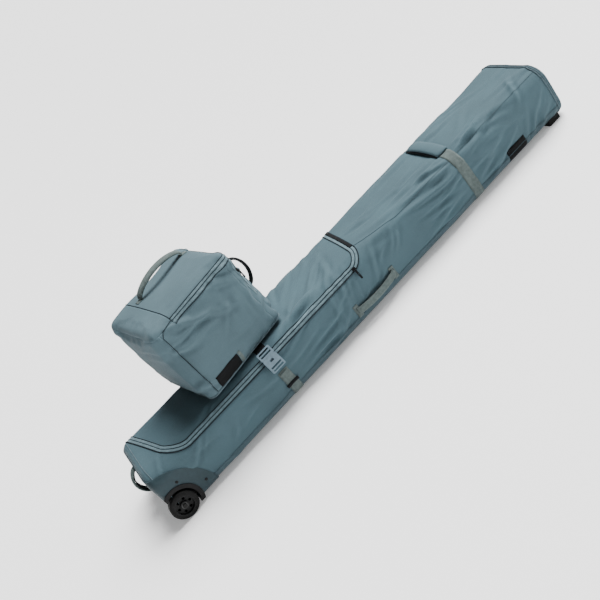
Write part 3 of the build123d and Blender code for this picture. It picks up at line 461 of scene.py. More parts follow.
BAG_FOLDS = (
    (16, beside(HEAD_STRAP, -0.16, -0.04), near_band, (0.05, 0.10), (0.006, 0.011), (-24, 8), (0.0034, 0.0062)),
    (12, beside(HEAD_STRAP, 0.03, 0.14), near_band, (0.05, 0.10), (0.006, 0.012), (-10, 24), (0.0028, 0.0050)),
    (14, beside(FOOT_STRAP, 0.05, 0.24), near_band, (0.05, 0.11), (0.007, 0.012), (-14, 22), (0.0026, 0.0048)),
    (10, (0.22, FOOT_STRAP - 0.05), near_band, (0.05, 0.11), (0.008, 0.014), (-40, 20), (0.0016, 0.0034)),
    (14, (0.84, 1.16), grip_band, (0.03, 0.07), (0.006, 0.010), (20, 75), (0.0018, 0.0038)),
    (12, (0.62, 1.0), lid_band, (0.04, 0.09), (0.009, 0.015), (35, 85), (0.0014, 0.0028)),
    (16, (1.12, 1.42), top_band, (0.06, 0.14), (0.010, 0.018), (-18, 18), (0.0014, 0.0030)),
    (14, (1.56, 1.86), top_band, (0.05, 0.12), (0.009, 0.016), (-25, 40), (0.0014, 0.0030)),
    (12, (1.74, 1.90), near_band, (0.04, 0.08), (0.006, 0.011), (40, 80), (0.0016, 0.0034)),
    (26, (0.2, 1.86), far_band, (0.05, 0.12), (0.008, 0.015), (-30, 30), (0.0014, 0.0032)),
    (10, (0.06, 0.34), near_band, (0.03, 0.07), (0.007, 0.012), (10, 60), (0.0014, 0.0030)),
)
folds = scatter(BAG_FOLDS, 1)


def swell(x, s):
    """How far the filled cloth stands outside its ideal surface at (x, s)."""
    y, z, _, _ = section_at(s)
    slow = np.sin(x * 9.1 + 1.3) * np.cos(s * 13.0 + x * 3.1) + 0.6 * np.sin(x * 17.3 + s * 21.0)
    height = 0.0022 * slow
    flat_top = bell(y, 0.11) * (z > TOP - 0.002)
    height += 0.004 * flat_top
    side = bell(z - 0.11, 0.05) * (np.abs(y) > HALF - 0.004)
    height += 0.003 * side
    for fold in folds:
        height += crease(x, s, *fold)
    cinch = bell(x - FOOT_STRAP, 0.030) + bell(x - HEAD_STRAP, 0.030)
    height = height * (1 - 0.85 * np.clip(cinch, 0, 1)) - 0.0035 * cinch
    top_only = (z > TOP - TOP_R) * 1.0
    pressed = under_boot(x, y) * top_only
    height = height * (1 - pressed) - 0.001 * pressed
    grounded = bell(np.maximum(z - LOW, 0), 0.018)
    height *= 1 - grounded
    from_housing = np.hypot(x - HOUSING_X, (z - HOUSING_Z) * 0.95) - 0.150
    housing = bell(np.maximum(from_housing, 0), 0.02) * (z < 0.2)
    end_cap = bell(np.minimum(x - FOOT_X, HEAD_X - x), 0.02)
    height *= (1 - np.clip(housing, 0, 1)) * (1 - 0.8 * end_cap)
    return height - 0.0012 * np.clip(housing, 0, 1)


# ---- Mesh helpers --------------------------------------------
def seat(obj, body, *nodes):
    """Ride obj on its body, in the place of those CAD nodes."""
    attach(obj, body)
    if nodes:
        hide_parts(*nodes)
    return obj


def mark_panels(obj, panels):
    """Write each face's panel number as its material index."""
    for _ in range(max(panels) + 1):
        obj.data.materials.append(None)
    obj.data.polygons.foreach_set("material_index", panels)
    obj.data.update()


def mark_strip(obj, place):
    """UV of a band or tube, in metres, from place(vertex)."""
    layer = obj.data.uv_layers.new(name="along")
    for loop in obj.data.loops:
        layer.data[loop.index].uv = place(loop.vertex_index)
    return obj


def mesh_piece(name, vertices, faces, material=None):
    mesh = bpy.data.meshes.new(name)
    mesh.from_pydata([tuple(v) for v in vertices], [], [tuple(f) for f in faces])
    mesh.validate()
    face_outwards(mesh)
    obj = bpy.data.objects.new(name, mesh)
    bpy.context.scene.collection.objects.link(obj)
    if material:
        mesh.materials.append(material)
    smooth(obj)
    return obj


def face_outwards(mesh):
    bm = bmesh.new()
    bm.from_mesh(mesh)
    bmesh.ops.recalc_face_normals(bm, faces=bm.faces)
    bm.to_mesh(mesh)
    bm.free()


def smooth(obj):
    obj.data.polygons.foreach_set("use_smooth", [True] * len(obj.data.polygons))


def coords(mesh):
    co = np.zeros(len(mesh.vertices) * 3)
    mesh.vertices.foreach_get("co", co)
    return co.reshape(-1, 3)


def set_coords(obj, co):
    obj.data.vertices.foreach_set("co", np.asarray(co, float).ravel())
    obj.data.update()


def modify(obj, kind, **values):
    """Add one modifier and apply it to obj's own mesh."""
    modifier = obj.modifiers.new(kind, kind)
    for key, value in values.items():
        setattr(modifier, key, value)
    depsgraph = bpy.context.evaluated_depsgraph_get()
    mesh = bpy.data.meshes.new_from_object(obj.evaluated_get(depsgraph))
    old = obj.data
    obj.modifiers.clear()
    obj.data = mesh
    bpy.data.meshes.remove(old)
    smooth(obj)


CLOTH = {
    "quality": 6, "mass": 0.25, "tension_stiffness": 20, "compression_stiffness": 20, "shear_stiffness": 6,
    "bending_stiffness": 1.2, "air_damping": 2, "use_pressure": True, "vertex_group_mass": "hold",
    "pin_stiffness": 1.0,
}


def simulate(pieces, frames=20):
    """Run cloth on several closed skins at once. pieces: (obj, hold weights, pressure, growth, cap)."""
    starts = []
    for obj, hold, pressure, growth, cap in pieces:
        group = obj.vertex_groups.new(name="hold")
        for k, weight in enumerate(hold):
            if weight > 0:
                group.add([k], float(weight), "REPLACE")
        cloth = obj.modifiers.new("cloth", "CLOTH")
        for key, value in CLOTH.items():
            setattr(cloth.settings, key, value)
        cloth.settings.shrink_min = -growth
        cloth.settings.uniform_pressure_force = pressure
        cloth.settings.effector_weights.gravity = 0
        cloth.point_cache.frame_start = 1
        cloth.point_cache.frame_end = frames
        starts.append(coords(obj.data))
    for number in range(1, frames + 1):
        bpy.context.scene.frame_set(number)
    depsgraph = bpy.context.evaluated_depsgraph_get()
    for (obj, *_, cap), start in zip(pieces, starts):
        step = coords(obj.evaluated_get(depsgraph).data) - start
        length = np.linalg.norm(step, axis=1, keepdims=True)
        limit = np.asarray(cap).reshape(-1, 1)
        step *= np.minimum(1, limit / np.maximum(length, 1e-9))
        obj.modifiers.clear()
        obj.vertex_groups.clear()
        set_coords(obj, start + step)
    bpy.context.scene.frame_set(1)


def split_piece(source, name, number, thickness, look):
    """The faces of source with that panel number, as a closed sheet of that thickness."""
    mesh = bpy.data.meshes.new(name)
    bm = bmesh.new()
    bm.from_mesh(source.data)
    gone = [f for f in bm.faces if f.material_index != number]
    bmesh.ops.delete(bm, geom=gone, context="FACES")
    for f in bm.faces:
        f.material_index = 0
        f.smooth = True
    bm.to_mesh(mesh)
    bm.free()
    mesh.materials.append(looks[look])
    obj = bpy.data.objects.new(name, mesh)
    bpy.context.scene.collection.objects.link(obj)
    modify(obj, "SOLIDIFY", thickness=thickness, offset=-1)
    "piping" if look == "seam" else look
    return obj


def tree_of(obj):
    bm = bmesh.new()
    bm.from_mesh(obj.data)
    bmesh.ops.triangulate(bm, faces=bm.faces)
    tree = BVHTree.FromBMesh(bm)
    bm.free()
    return tree


def drape(tree, points, normals, reach=0.05):
    """Ideal points moved along their normals to lie on the cloth; a point that misses it stays."""
    points, normals = np.asarray(points, float), np.asarray(normals, float)
    shape = points.shape
    out = points.reshape(-1, 3).copy()
    for k, (p, d) in enumerate(zip(points.reshape(-1, 3), normals.reshape(-1, 3))):
        start = Vector(p) + Vector(d) * reach
        hit = tree.ray_cast(start, -Vector(d), 2 * reach)[0]
        if hit is not None:
            out[k] = hit
    return out.reshape(shape)


def band(name, rows, normals, thickness, look, lift=0.0, crown=0.0):
    """Flat band of webbing or tape: rows is (n, m, 3) points along and across, lifted and given a thickness."""
    rows, normals = np.asarray(rows, float), np.asarray(normals, float)
    n, m = rows.shape[:2]
    across = np.linspace(-1, 1, m)
    rise = (thickness + crown * (1 - across ** 2))[None, :, None]
    edge = (1 - 0.35 * (np.abs(across) > 0.999))[None, :, None]
    top = rows + normals * (lift + rise * edge)
    bottom = rows + normals * lift
    verts = np.concatenate([top.reshape(-1, 3), bottom.reshape(-1, 3)])
    under = n * m
    faces = []

    def wall(a, b, flip):
        quad = (a, b, b + under, a + under)
        faces.append(quad[::-1] if flip else quad)

    for i in range(n - 1):
        for k in range(m - 1):
            a, b = i * m + k, (i + 1) * m + k
            faces.append((a, a + 1, b + 1, b))
            faces.append((a + under, b + under, b + 1 + under, a + 1 + under))
        for k in (0, m - 1):
            wall(i * m + k, (i + 1) * m + k, k > 0)
    for i in (0, n - 1):
        for k in range(m - 1):
            wall(i * m + k, i * m + k + 1, i == 0)
    obj = mesh_piece(name, verts, faces, looks[look])
    run, wide = run_of(rows[:, m // 2]), run_of(rows[n // 2])
    return mark_strip(obj, lambda v: (run[v % under // m], wide[v % m]))


def beside_line(line):
    """Unit direction to the left of a line of (x, s) at each of its points."""
    tangent = np.gradient(line, axis=0)
    tangent /= np.linalg.norm(tangent, axis=1, keepdims=True)
    return np.stack([-tangent[:, 1], tangent[:, 0]], -1)


def surface_band(name, line, left, right, thickness, look, columns, lift, step=0.006):
    """Band on the ski bag along a line of (x, s), reaching left and right of it, laid on the cloth."""
    line = resample(line, step)
    offsets = np.linspace(-left, right, columns)
    spots = line[:, None, :] + beside_line(line)[:, None, :] * offsets[None, :, None]
    points, normals = bag_surface(spots[..., 0], spots[..., 1])
    return band(name, drape(skin_tree, points, normals), normals, thickness, look, lift)


SIDES = 8                    # of every tube


def tube(name, path, radius, look):
    """Solid round cord along a list of points."""
    path = np.asarray(path, float)
    tangent = np.gradient(path, axis=0)
    tangent /= np.maximum(np.linalg.norm(tangent, axis=1, keepdims=True), 1e-9)
    up = np.array([0.0, 0.0, 1.0])
    verts, faces = [], []
    for p, t in zip(path, tangent):
        ref = up if abs(t @ up) < 0.95 else np.array([0.0, 1.0, 0.0])
        a = np.cross(t, ref)
        a /= np.linalg.norm(a)
        b = np.cross(a, t)
        for k in range(SIDES):
            turn = 2 * math.pi * k / SIDES
            verts.append(p + radius * (math.cos(turn) * a + math.sin(turn) * b))
    last = (len(path) - 1) * SIDES
    for i in range(0, last, SIDES):
        for k in range(SIDES):
            beyond = (k + 1) % SIDES
            faces.append((i + k, i + beyond, i + SIDES + beyond, i + SIDES + k))
    faces.append(tuple(range(SIDES))[::-1])
    faces.append(tuple(range(last, last + SIDES)))
    obj = mesh_piece(name, verts, faces, looks[look])
    run = run_of(path)
    return mark_strip(obj, lambda v: (run[v // SIDES], radius * 6.28 * (v % SIDES) / SIDES))


def stitches(name, lines, normals, body, pitch=0.0042, length=0.0028, thick=0.0005):
    """Rows of sewing thread: one small raised stitch at each pitch along each line."""
    verts, faces = [], []
    for line, normal in zip(lines, normals):
        line, normal = np.asarray(line, float), np.asarray(normal, float)
        run = run_of(line)
        for start in np.arange(pitch / 2, run[-1] - length, pitch):
            spots = (start, start + length)
            ends = [np.array([np.interp(t, run, line[:, k]) for k in range(3)]) for t in spots]
            out = np.array([np.interp(start, run, normal[:, k]) for k in range(3)])
            out /= np.linalg.norm(out)
            along = ends[1] - ends[0]
            side = np.cross(along, out)
            side *= thick / max(np.linalg.norm(side), 1e-9)
            middle = (ends[0] + ends[1]) / 2 + out * thick * 1.3
            k = len(verts)
            verts += [ends[0], middle - side, ends[1], middle + side, middle - out * thick * 2.2]
            faces += [(k, k + 1, k + 3), (k + 1, k + 2, k + 3), (k, k + 4, k + 1), (k + 1, k + 4, k + 2)]
            faces += [(k + 2, k + 4, k + 3), (k + 3, k + 4, k)]
    obj = mesh_piece(name, verts, faces, thread)
    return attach(obj, body)


# ---- Ski bag skin --------------------------------------------
def even(start, end, count):
    return list(np.linspace(start, end, count, endpoint=False))


SNAP = 0.0042                # grid points this near the lid's line move on to it
WHEEL_X, WHEEL_Z = 0.057, 0.050
WHEEL_GAP = 0.060            # radius of the opening that the cloth leaves round each wheel
BODY_PANEL, LID_PANEL, BASE_PANEL, HEAD_PANEL, FOOT_PANEL, NO_PANEL = 0, 1, 2, 3, 4, 9


def nearest_on_lid_line(spots):
    """Distance to the lid line's nearest point and its number, worked out in batches."""
    best = np.full(len(spots), 9.0)
    pick = np.zeros(len(spots), int)
    for first in range(0, len(lid_line), 200):
        away = np.linalg.norm(spots[:, None] - lid_line[None, first:first + 200], axis=2)
        near = away.min(1)
        closer = near < best
        best[closer], pick[closer] = near[closer], away.argmin(1)[closer] + first
    return best, pick


def bag_panel(x, s, in_lid, cap):
    """Panel number of a face with its middle at (x, s)."""
    y, z = (float(value[0]) for value in section_at(np.array([s]))[:2])
    if abs(y) > 0.134 and math.hypot(x - WHEEL_X, z - WHEEL_Z) < WHEEL_GAP:
        return NO_PANEL
    if in_lid:
        return LID_PANEL
    if x > HEAD_X - 0.029 or (cap and x > 1):
        return HEAD_PANEL
    if cap or x < FOOT_X + END_R:
        return FOOT_PANEL
    return BASE_PANEL if z < LOW + LOW_R else BODY_PANEL


def bag_grid():
    """x, s and inset of the ski bag's grid, and which of its points lie on the lid's line."""
    counts = [10, 7, 13, 13, 26, 13, 13, 7, 10]
    columns = np.array([s for k, c in enumerate(counts) for s in even(STARTS[k], ENDS[k], c)])
    cap_insets = [0.095, 0.088, 0.078, 0.066, 0.054, 0.042, 0.032]
    bends = np.radians(np.linspace(90, 0, 6))
    rows = [(FOOT_X, c) for c in cap_insets]
    rows += [(FOOT_X + END_R * (1 - math.sin(b)), END_R * (1 - math.cos(b))) for b in bends]
    rows += [(x, 0.0) for x in np.linspace(FOOT_X + END_R, HEAD_X - END_R, 241)[1:-1]]
    rows += [(HEAD_X - END_R * (1 - math.sin(b)), END_R * (1 - math.cos(b))) for b in bends[::-1]]
    rows += [(HEAD_X, c) for c in cap_insets[::-1]]
    x, inset = (np.array(values)[:, None] + np.zeros(len(columns)) for values in zip(*rows))
    s = np.zeros((len(rows), 1)) + columns
    body = (inset < 1e-9) & (s > S_NEAR_TOP - 0.012) & (s < S_FAR)
    best, pick = nearest_on_lid_line(np.stack([x[body], s[body]], -1))
    snapped = np.zeros(x.shape, bool)
    snapped[body] = best < SNAP
    x[snapped], s[snapped] = lid_line[pick[best < SNAP]].T
    return x, s, inset, snapped


def bag_skin():
    """The whole outside of the ski bag as one closed grid, with a panel number on each face."""
    x, s, inset, snapped = bag_grid()
    y, z, _, _ = section_at(s, inset)
    points, normals = bag_surface(x, s)
    capped = inset > END_R - 1e-9
    points[capped] = np.stack([ORIGIN_X + x, MID_Y + y, z], -1)[capped]
    normals[capped] = np.where(x[capped] < 1, -1.0, 1.0)[:, None] * np.array([1.0, 0, 0])
    n, m = x.shape
    in_lid = inside_lid(x, s) & ~snapped & (inset < 1e-9)
    sign = np.where(snapped, 0, np.where(in_lid, 1, -1)).ravel()
    flat_x, flat_s, flat_cap = x.ravel(), s.ravel(), capped.ravel()
    faces, panels = [], []
    for i in range(n - 1):
        for j in range(m):
            quad = [i * m + j, (i + 1) * m + j, (i + 1) * m + (j + 1) % m, i * m + (j + 1) % m]
            marks = [sign[q] for q in quad]
            parts = [quad]
            if 1 in marks and -1 in marks:
                for a in (0, 1):
                    if marks[a] == 0 and marks[a + 2] == 0:
                        parts = [quad[a:a + 3], [quad[a + 2], quad[(a + 3) % 4], quad[a]]]
            for face in parts:
                total = sum(sign[q] for q in face)
                cs = [flat_s[q] for q in face]
                if max(cs) - min(cs) > GIRTH / 2:
                    cs = [c if c > GIRTH / 2 else c + GIRTH for c in cs]
                cx = sum(flat_x[q] for q in face) / len(face)
                centre = sum(cs) / len(cs)
                if total == 0 and not any(sign[q] for q in face):
                    total = 1 if inside_lid(np.array([cx]), np.array([centre]))[0] else -1
                faces.append(face)
                panels.append(bag_panel(cx, centre % GIRTH, total > 0, any(flat_cap[q] for q in face)))
    faces.append(list(range(m)))
    panels.append(FOOT_PANEL)
    faces.append(list(range((n - 1) * m, n * m))[::-1])
    panels.append(HEAD_PANEL)
    obj = mesh_piece("bag_skin", points.reshape(-1, 3), faces)
    mark_panels(obj, panels)
    return obj, flat_x, flat_s, inset.ravel(), normals.reshape(-1, 3)


skin, skin_x, skin_s, skin_inset, skin_normals = bag_skin()
skin_y, skin_z, _, _ = section_at(skin_s, skin_inset)

# ---- Boot bag skin -------------------------------------------
BOOT_R = 0.025               # radius of its edges
FLAP_X = -0.090              # the flap's seam, in the boot bag's own x
FLAP_Z = 0.297               # height of its zip
PANEL_X = 0.150              # seams of its two end panels
PANEL_LOW = 0.020            # height of its back panel's edge
BOOT_CELL = 0.0085


def boot_point(x, y, z):
    """Boot bag's own place (from under its middle, yawed) in the row frame."""
    local = boot_turn @ Vector((x, y, 0))
    return at(BOOT_X + local.x, BOOT_Y + local.y, BOOT_LOW + z)


def boot_world(points):
    points = np.asarray(points, float)
    turned = points @ np.array(boot_turn).T
    return turned + np.array([ORIGIN_X + BOOT_X, MID_Y + BOOT_Y, BOOT_LOW])


def boot_turned(normals):
    return np.asarray(normals, float) @ np.array(boot_turn).T


def levels(half, marks, shift=0.0):
    """Even steps from -half to half, the nearest ones moved on to the marks."""
    values = np.linspace(-half, half, int(round(2 * half / BOOT_CELL)) + 1)
    for mark in marks:
        values[np.abs(values - mark).argmin()] = mark
    return values + shift


def boot_round(p):
    """Points of the plain box moved to the box with rounded edges, and their normals."""
    half = np.array(BOOT_HALF)
    centred = p - np.array([0, 0, BOOT_HALF[2]])
    core = np.clip(centred, -(half - BOOT_R), half - BOOT_R)
    arm = centred - core
    length = np.linalg.norm(arm, axis=-1, keepdims=True)
    normal = arm / np.maximum(length, 1e-9)
    return core + normal * BOOT_R + np.array([0, 0, BOOT_HALF[2]]), normal


BOOT_FOLDS = (
    (11, (-0.12, 0.16), (0.20, 0.29), (0.03, 0.07), (0.007, 0.012), (-35, -5), (0.0028, 0.0052)),
    (7, (0.02, 0.16), (0.08, 0.2), (0.03, 0.08), (0.008, 0.014), (40, 85), (0.0014, 0.0030)),
    (6, (-0.15, 0.05), (0.05, 0.2), (0.04, 0.08), (0.010, 0.018), (-60, 20), (0.0012, 0.0026)),
)
boot_folds = scatter(BOOT_FOLDS, 21)


def boot_swell(local, normal):
    """How far the boot bag's cloth stands out of its box."""
    x, y, z = local[:, 0], local[:, 1], local[:, 2]
    side = np.abs(normal[:, 1]) * bell(x, 0.15) * bell(z - 0.155, 0.13)
    end = np.abs(normal[:, 0]) * bell(y, 0.14) * bell(z - 0.155, 0.13)
    top = np.clip(normal[:, 2], 0, 1) * bell(x, 0.15) * bell(y, 0.14)
    height = 0.010 * side + 0.007 * end + 0.005 * top
    height += 0.0016 * np.sin(x * 31 + 1) * np.cos(z * 27 + y * 11)
    across = np.where(np.abs(normal[:, 1]) > 0.7, x, y)
    walls = 1 - np.abs(normal[:, 2])
    for fold in boot_folds:
        height += crease(across, z, *fold) * walls
    height -= 0.7 * (height - 0.007 * end) * (normal[:, 0] < -0.5)
    sunk = bell(np.maximum(z, 0), 0.03)
    return height * (1 - sunk) - 0.0005 * sunk


def boot_skin():
    """The outside of the boot bag as one closed box grid, with a panel number on each face."""
    xs = levels(BOOT_HALF[0], (-PANEL_X, FLAP_X, PANEL_X))
    ys = levels(BOOT_HALF[1], ())
    zs = levels(BOOT_HALF[2], (PANEL_LOW - BOOT_HALF[2], FLAP_Z - BOOT_HALF[2]), BOOT_HALF[2])
    index, points, faces, panels = {}, [], [], []

    def corner(i, j, k):
        if (i, j, k) not in index:
            index[i, j, k] = len(points)
            points.append((xs[i], ys[j], zs[k]))
        return index[i, j, k]

    def panel(centre):
        if centre[2] > FLAP_Z:
            return 1 if centre[0] > FLAP_X else 5
        if centre[2] < PANEL_LOW:
            return 0
        if centre[0] < -PANEL_X:
            return 2
        return 3 if centre[0] > PANEL_X else 4

    nx, ny, nz = len(xs) - 1, len(ys) - 1, len(zs) - 1
    sheets = [
        [((i, j, 0), (i, j + 1, 0), (i + 1, j + 1, 0), (i + 1, j, 0)) for i in range(nx) for j in range(ny)],
        [((i, j, nz), (i + 1, j, nz), (i + 1, j + 1, nz), (i, j + 1, nz)) for i in range(nx) for j in range(ny)],
        [((i, 0, k), (i + 1, 0, k), (i + 1, 0, k + 1), (i, 0, k + 1)) for i in range(nx) for k in range(nz)],
        [((i, ny, k), (i, ny, k + 1), (i + 1, ny, k + 1), (i + 1, ny, k)) for i in range(nx) for k in range(nz)],
        [((0, j, k), (0, j, k + 1), (0, j + 1, k + 1), (0, j + 1, k)) for j in range(ny) for k in range(nz)],
        [((nx, j, k), (nx, j + 1, k), (nx, j + 1, k + 1), (nx, j, k + 1)) for j in range(ny) for k in range(nz)],
    ]
    for sheet in sheets:
        for quad in sheet:
            face = [corner(*c) for c in quad]
            faces.append(face)
            centre = np.mean([points[v] for v in face], axis=0)
            panels.append(panel(centre))
    local, normal = boot_round(np.array(points))
    obj = mesh_piece("boot_skin", boot_world(local), faces)
    mark_panels(obj, panels)
    return obj, local, normal


boot, boot_local, boot_normal = boot_skin()

# ---- Filling the skins ---------------------------------------
skin_swell = swell(skin_x, skin_s) * (skin_inset < END_R)
set_coords(skin, coords(skin.data) + skin_normals * skin_swell[:, None])
set_coords(boot, coords(boot.data) + boot_turned(boot_normal) * boot_swell(boot_local, boot_normal)[:, None])

held = np.clip(bell(skin_x - FOOT_STRAP, 0.03) + bell(skin_x - HEAD_STRAP, 0.03), 0, 1)
held = np.maximum(held, bell(np.maximum(skin_z - LOW, 0), 0.02))
held = np.maximum(held, (skin_inset > 0) * 1.0)
from_housing = np.hypot(skin_x - HOUSING_X, skin_z - HOUSING_Z) - 0.16
held = np.maximum(held, bell(np.maximum(from_housing, 0), 0.02))
held = np.maximum(held, under_boot(skin_x, skin_y) * (skin_z > TOP - 0.03))
held = np.maximum(np.where(held > 0.5, 1.0, held), 0.02)
skin_cap = 0.006 * (1 - held) + 0.0003
boot_held = np.maximum(bell(boot_local[:, 2], 0.02), 0.03)
boot_held = np.where(boot_held > 0.5, 1.0, boot_held)
boot_cap = 0.007 * (1 - boot_held) * (1 - 0.6 * (boot_normal[:, 2] > 0.5)) + 0.0003
simulate([(skin, held, 2.0, 0.03, skin_cap), (boot, boot_held, 2.0, 0.03, boot_cap)])

for obj in (skin, boot):
    modify(obj, "SUBSURF", levels=1, render_levels=1)
skin_tree = tree_of(skin)
boot_tree = tree_of(boot)

# ---- Panels of both bags -------------------------------------
SHELL_PAD = (0.004, 0.7)     # thickness, and how tightly filled
BOOT_PAD = (0.0035, 0.75)
PANELS = (                   # skin, piece, panel number, body, slot, CAD nodes it stands for
    (skin, "bag_body", 0, "ski_bag", "shell_fabric",
     ("near_side_panel", "far_side_panel", "foot_top_panel", "head_top_panel")),
    (skin, "bag_base", 2, "ski_bag", "base_fabric", ("base_panel",)),
    (skin, "bag_head_end", 3, "ski_bag", "shell_fabric", ("head_end_panel",)),
    (skin, "bag_foot_end", 4, "ski_bag", "shell_fabric", ("foot_end_panel",)),
    (skin, "lid_cover", 1, "lid", "shell_fabric", ("lid_panel",)),
    (boot, "boot_back", 0, "boot_bag", "boot_fabric", ("boot_back_panel",)),
    (boot, "boot_foot_side", 2, "boot_bag", "boot_fabric", ("boot_foot_panel",)),
    (boot, "boot_head_side", 3, "boot_bag", "boot_fabric", ("boot_head_panel",)),
    (boot, "boot_walls", 4, "boot_bag", "boot_fabric", ("boot_near_panel", "boot_far_panel")),
    (boot, "boot_front", 5, "boot_bag", "boot_fabric", ("boot_front_panel",)),
    (boot, "boot_lid", 1, "boot_flap", "boot_fabric", ("boot_flap",)),
)
for source, name, number, body, look, nodes in PANELS:
    thickness, fill = SHELL_PAD if source is skin else BOOT_PAD
    seat(split_piece(source, name, number, thickness, look), body, *nodes)
for source in (skin, boot):
    bpy.data.objects.remove(source)

# ---- Zip and seams on the ski bag ----------------------------
GAP = 0.0003                 # between the zip's two tapes
ZIP_TAPE = (0.0009, "zip_tape", 5, 0.0002)
seat(surface_band("shell_tape", lid_line, TAPE, -GAP, *ZIP_TAPE), "ski_bag", "shell_zip_tape")
seat(surface_band("lid_tape", lid_line, -GAP, TAPE, *ZIP_TAPE), "lid", "lid_zip_tape")


def offset_line(line, distance):
    line = resample(line, 0.006)
    return line + beside_line(line) * distance


def surface_tube(name, line, radius, look, body, sink=0.3, step=0.006):
    """Welt sewn along a line of (x, s), part sunk into the cloth."""
    line = resample(line, step)
    points, normals = bag_surface(line[:, 0], line[:, 1])
    laid = drape(skin_tree, points, normals) + normals * radius * (1 - sink)
    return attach(tube(name, laid, radius, look), body)


def ring(x, start, end, count=60):
    """Line of (x, s) across the bag at x."""
    return np.stack([np.full(count, x), np.linspace(start, end, count)], -1)


WELT_OFF = 0.001             # from the tape's edge
END_SEAM = 0.030             # from the head end
SEAM = (0.0011, "base_fabric", "ski_bag", 0.55)
surface_tube("shell_welt", offset_line(lid_line, -TAPE - WELT_OFF), 0.0021, "seam", "ski_bag")
surface_tube("zip_teeth", lid_line, 0.0012, "seam", "ski_bag", 0.1, 0.004)
surface_tube("lid_welt", offset_line(lid_line, TAPE + WELT_OFF), 0.0016, "seam", "lid")

RINGS = (                    # piece, place along the bag, s it runs between, radius
    ("foot_welt", FOOT_X + END_R + 0.001, S_NEAR_LOW, S_FAR_LOW, 0.0017),
    ("head_welt", HEAD_X - 0.029, S_NEAR_BASE, S_FAR_BASE, 0.0022),
    ("head_ridge_1", HEAD_X - 0.022, S_NEAR_BASE, S_FAR_BASE, 0.0015),
    ("head_ridge_2", HEAD_X - 0.015, S_NEAR_BASE, S_FAR_BASE, 0.0015),
)
for name, x, start, end, radius in RINGS:
    surface_tube(name, ring(x, start, end), radius, "piping", "ski_bag")

# The head-top panel's seam leaves the lid's head end and runs on along the near top corner.
PANEL_SEAM = [
    (1.030, S_TOP + 0.012),
    (1.075, S_TOP - 0.010),
    (1.20, S_TOP - 0.040),
    (HEAD_X - END_SEAM, S_TOP - 0.042),
]
surface_tube("panel_seam", rounded(PANEL_SEAM, (0.03, 0.12)), *SEAM)
base_x = np.linspace(0.19, HEAD_X - END_SEAM, 200)
for name, s in (("base_seam_near", S_NEAR_LOW), ("base_seam_far", S_FAR_LOW)):
    surface_tube(name, np.stack([base_x, np.full(200, s)], -1), *SEAM)

# ---- Straps round the ski bag --------------------------------
STRAP = 0.040
STRAP_TURN = 0.02            # how far a strap goes on under the bag


def ring_band(name, x, start, end, look, body, *nodes, lift=0.0003):
    """Strap round the bag at x, laid on the cloth."""
    line = ring(x, start, end, 90)
    obj = surface_band(name, line, STRAP / 2, STRAP / 2, 0.0018, look, 6, lift, step=0.005)
    return seat(obj, body, *nodes)


low_start, low_end = S_NEAR_BASE - STRAP_TURN, S_FAR_BASE + STRAP_TURN
ring_band("head_band", HEAD_STRAP, low_start, low_end, "webbing", "ski_bag", "head_strap")
ring_band("foot_band", FOOT_STRAP, low_start, S_NEAR_TOP - 0.026, "webbing", "ski_bag", "foot_strap")
ring_band("foot_band_far", FOOT_STRAP, S_FAR + 0.004, low_end, "webbing", "ski_bag")
ring_band("lid_band", FOOT_STRAP, S_TOP - 0.030, S_FAR - 0.002, "black_webbing", "lid", "lid_strap", lift=0.0)


def side_s(z):
    """s of a height on the near side's flat."""
    return float(STARTS[2]) + z - (LOW + LOW_R)


KEEPER_Z = 0.066
KEEPER_REACH = 0.025
keeper_line = [(FOOT_STRAP + reach, side_s(KEEPER_Z)) for reach in (-KEEPER_REACH, KEEPER_REACH)]
keeper = surface_band("keeper", keeper_line, 0.006, 0.006, 0.0016, "black_webbing", 4, 0.0048)
seat(keeper, "ski_bag", "strap_keeper")
tail_line = [(FOOT_STRAP, side_s(z)) for z in (0.020, 0.118)]
seat(surface_band("strap_tail", tail_line, 0.019, 0.019, 0.0016, "webbing", 6, 0.0026), "ski_bag")


def laid_patch(name, tree, centre, normal, along, length, width, thickness, look, body, *nodes):
    """Rectangle of cloth or webbing projected on to a skin, with a row of stitches by each long edge."""
    lift = 0.0003
    normal, along = Vector(normal).normalized(), Vector(along).normalized()
    across = normal.cross(along)
    lengthwise, crosswise = np.linspace(-length / 2, length / 2, 14), np.linspace(-width / 2, width / 2, 6)
    rows = np.array([[list(Vector(centre) + along * u + across * v) for v in crosswise] for u in lengthwise])
    normals = np.zeros_like(rows) + np.array(normal)
    laid = drape(tree, rows, normals)
    obj = seat(band(name, laid, normals, thickness, look, lift), body, *nodes)
    edge, out = 0.88, normals[:, 0]
    inner = [laid[:, k] * edge + laid[:, 5 - k] * (1 - edge) + out * (lift + thickness) for k in (0, 5)]
    stitches(name + "_stitches", inner, [out, out], body)
    return obj


def arc_band(name, ends, out, depth, width, thickness, look, body, crown, power, *nodes, sag=None, lift=0.0):
    """Grip or loop of webbing standing off between two points, its ends flat on the surface."""
    start, end, out = Vector(ends[0]), Vector(ends[1]), Vector(out).normalized()
    across = out.cross((end - start).normalized())
    rows, normals = [], []
    share = np.linspace(0, 1, 44)
    rise = np.sin(np.pi * share) ** power
    path = [start.lerp(end, t) + out * (lift + depth * r) for t, r in zip(share, rise)]
    if sag:
        path = [p + Vector(sag) * r for p, r in zip(path, rise)]
    for k, p in enumerate(path):
        tangent = (path[min(k + 1, 43)] - path[max(k - 1, 0)]).normalized()
        normal = tangent.cross(across).normalized()
        if normal.dot(out) < 0:
            normal = -normal
        rows.append([list(p + across * v) for v in np.linspace(-width / 2, width / 2, 6)])
        normals.append([list(normal)] * 6)
    return seat(band(name, rows, normals, thickness, look, 0.0, crown), body, *nodes)


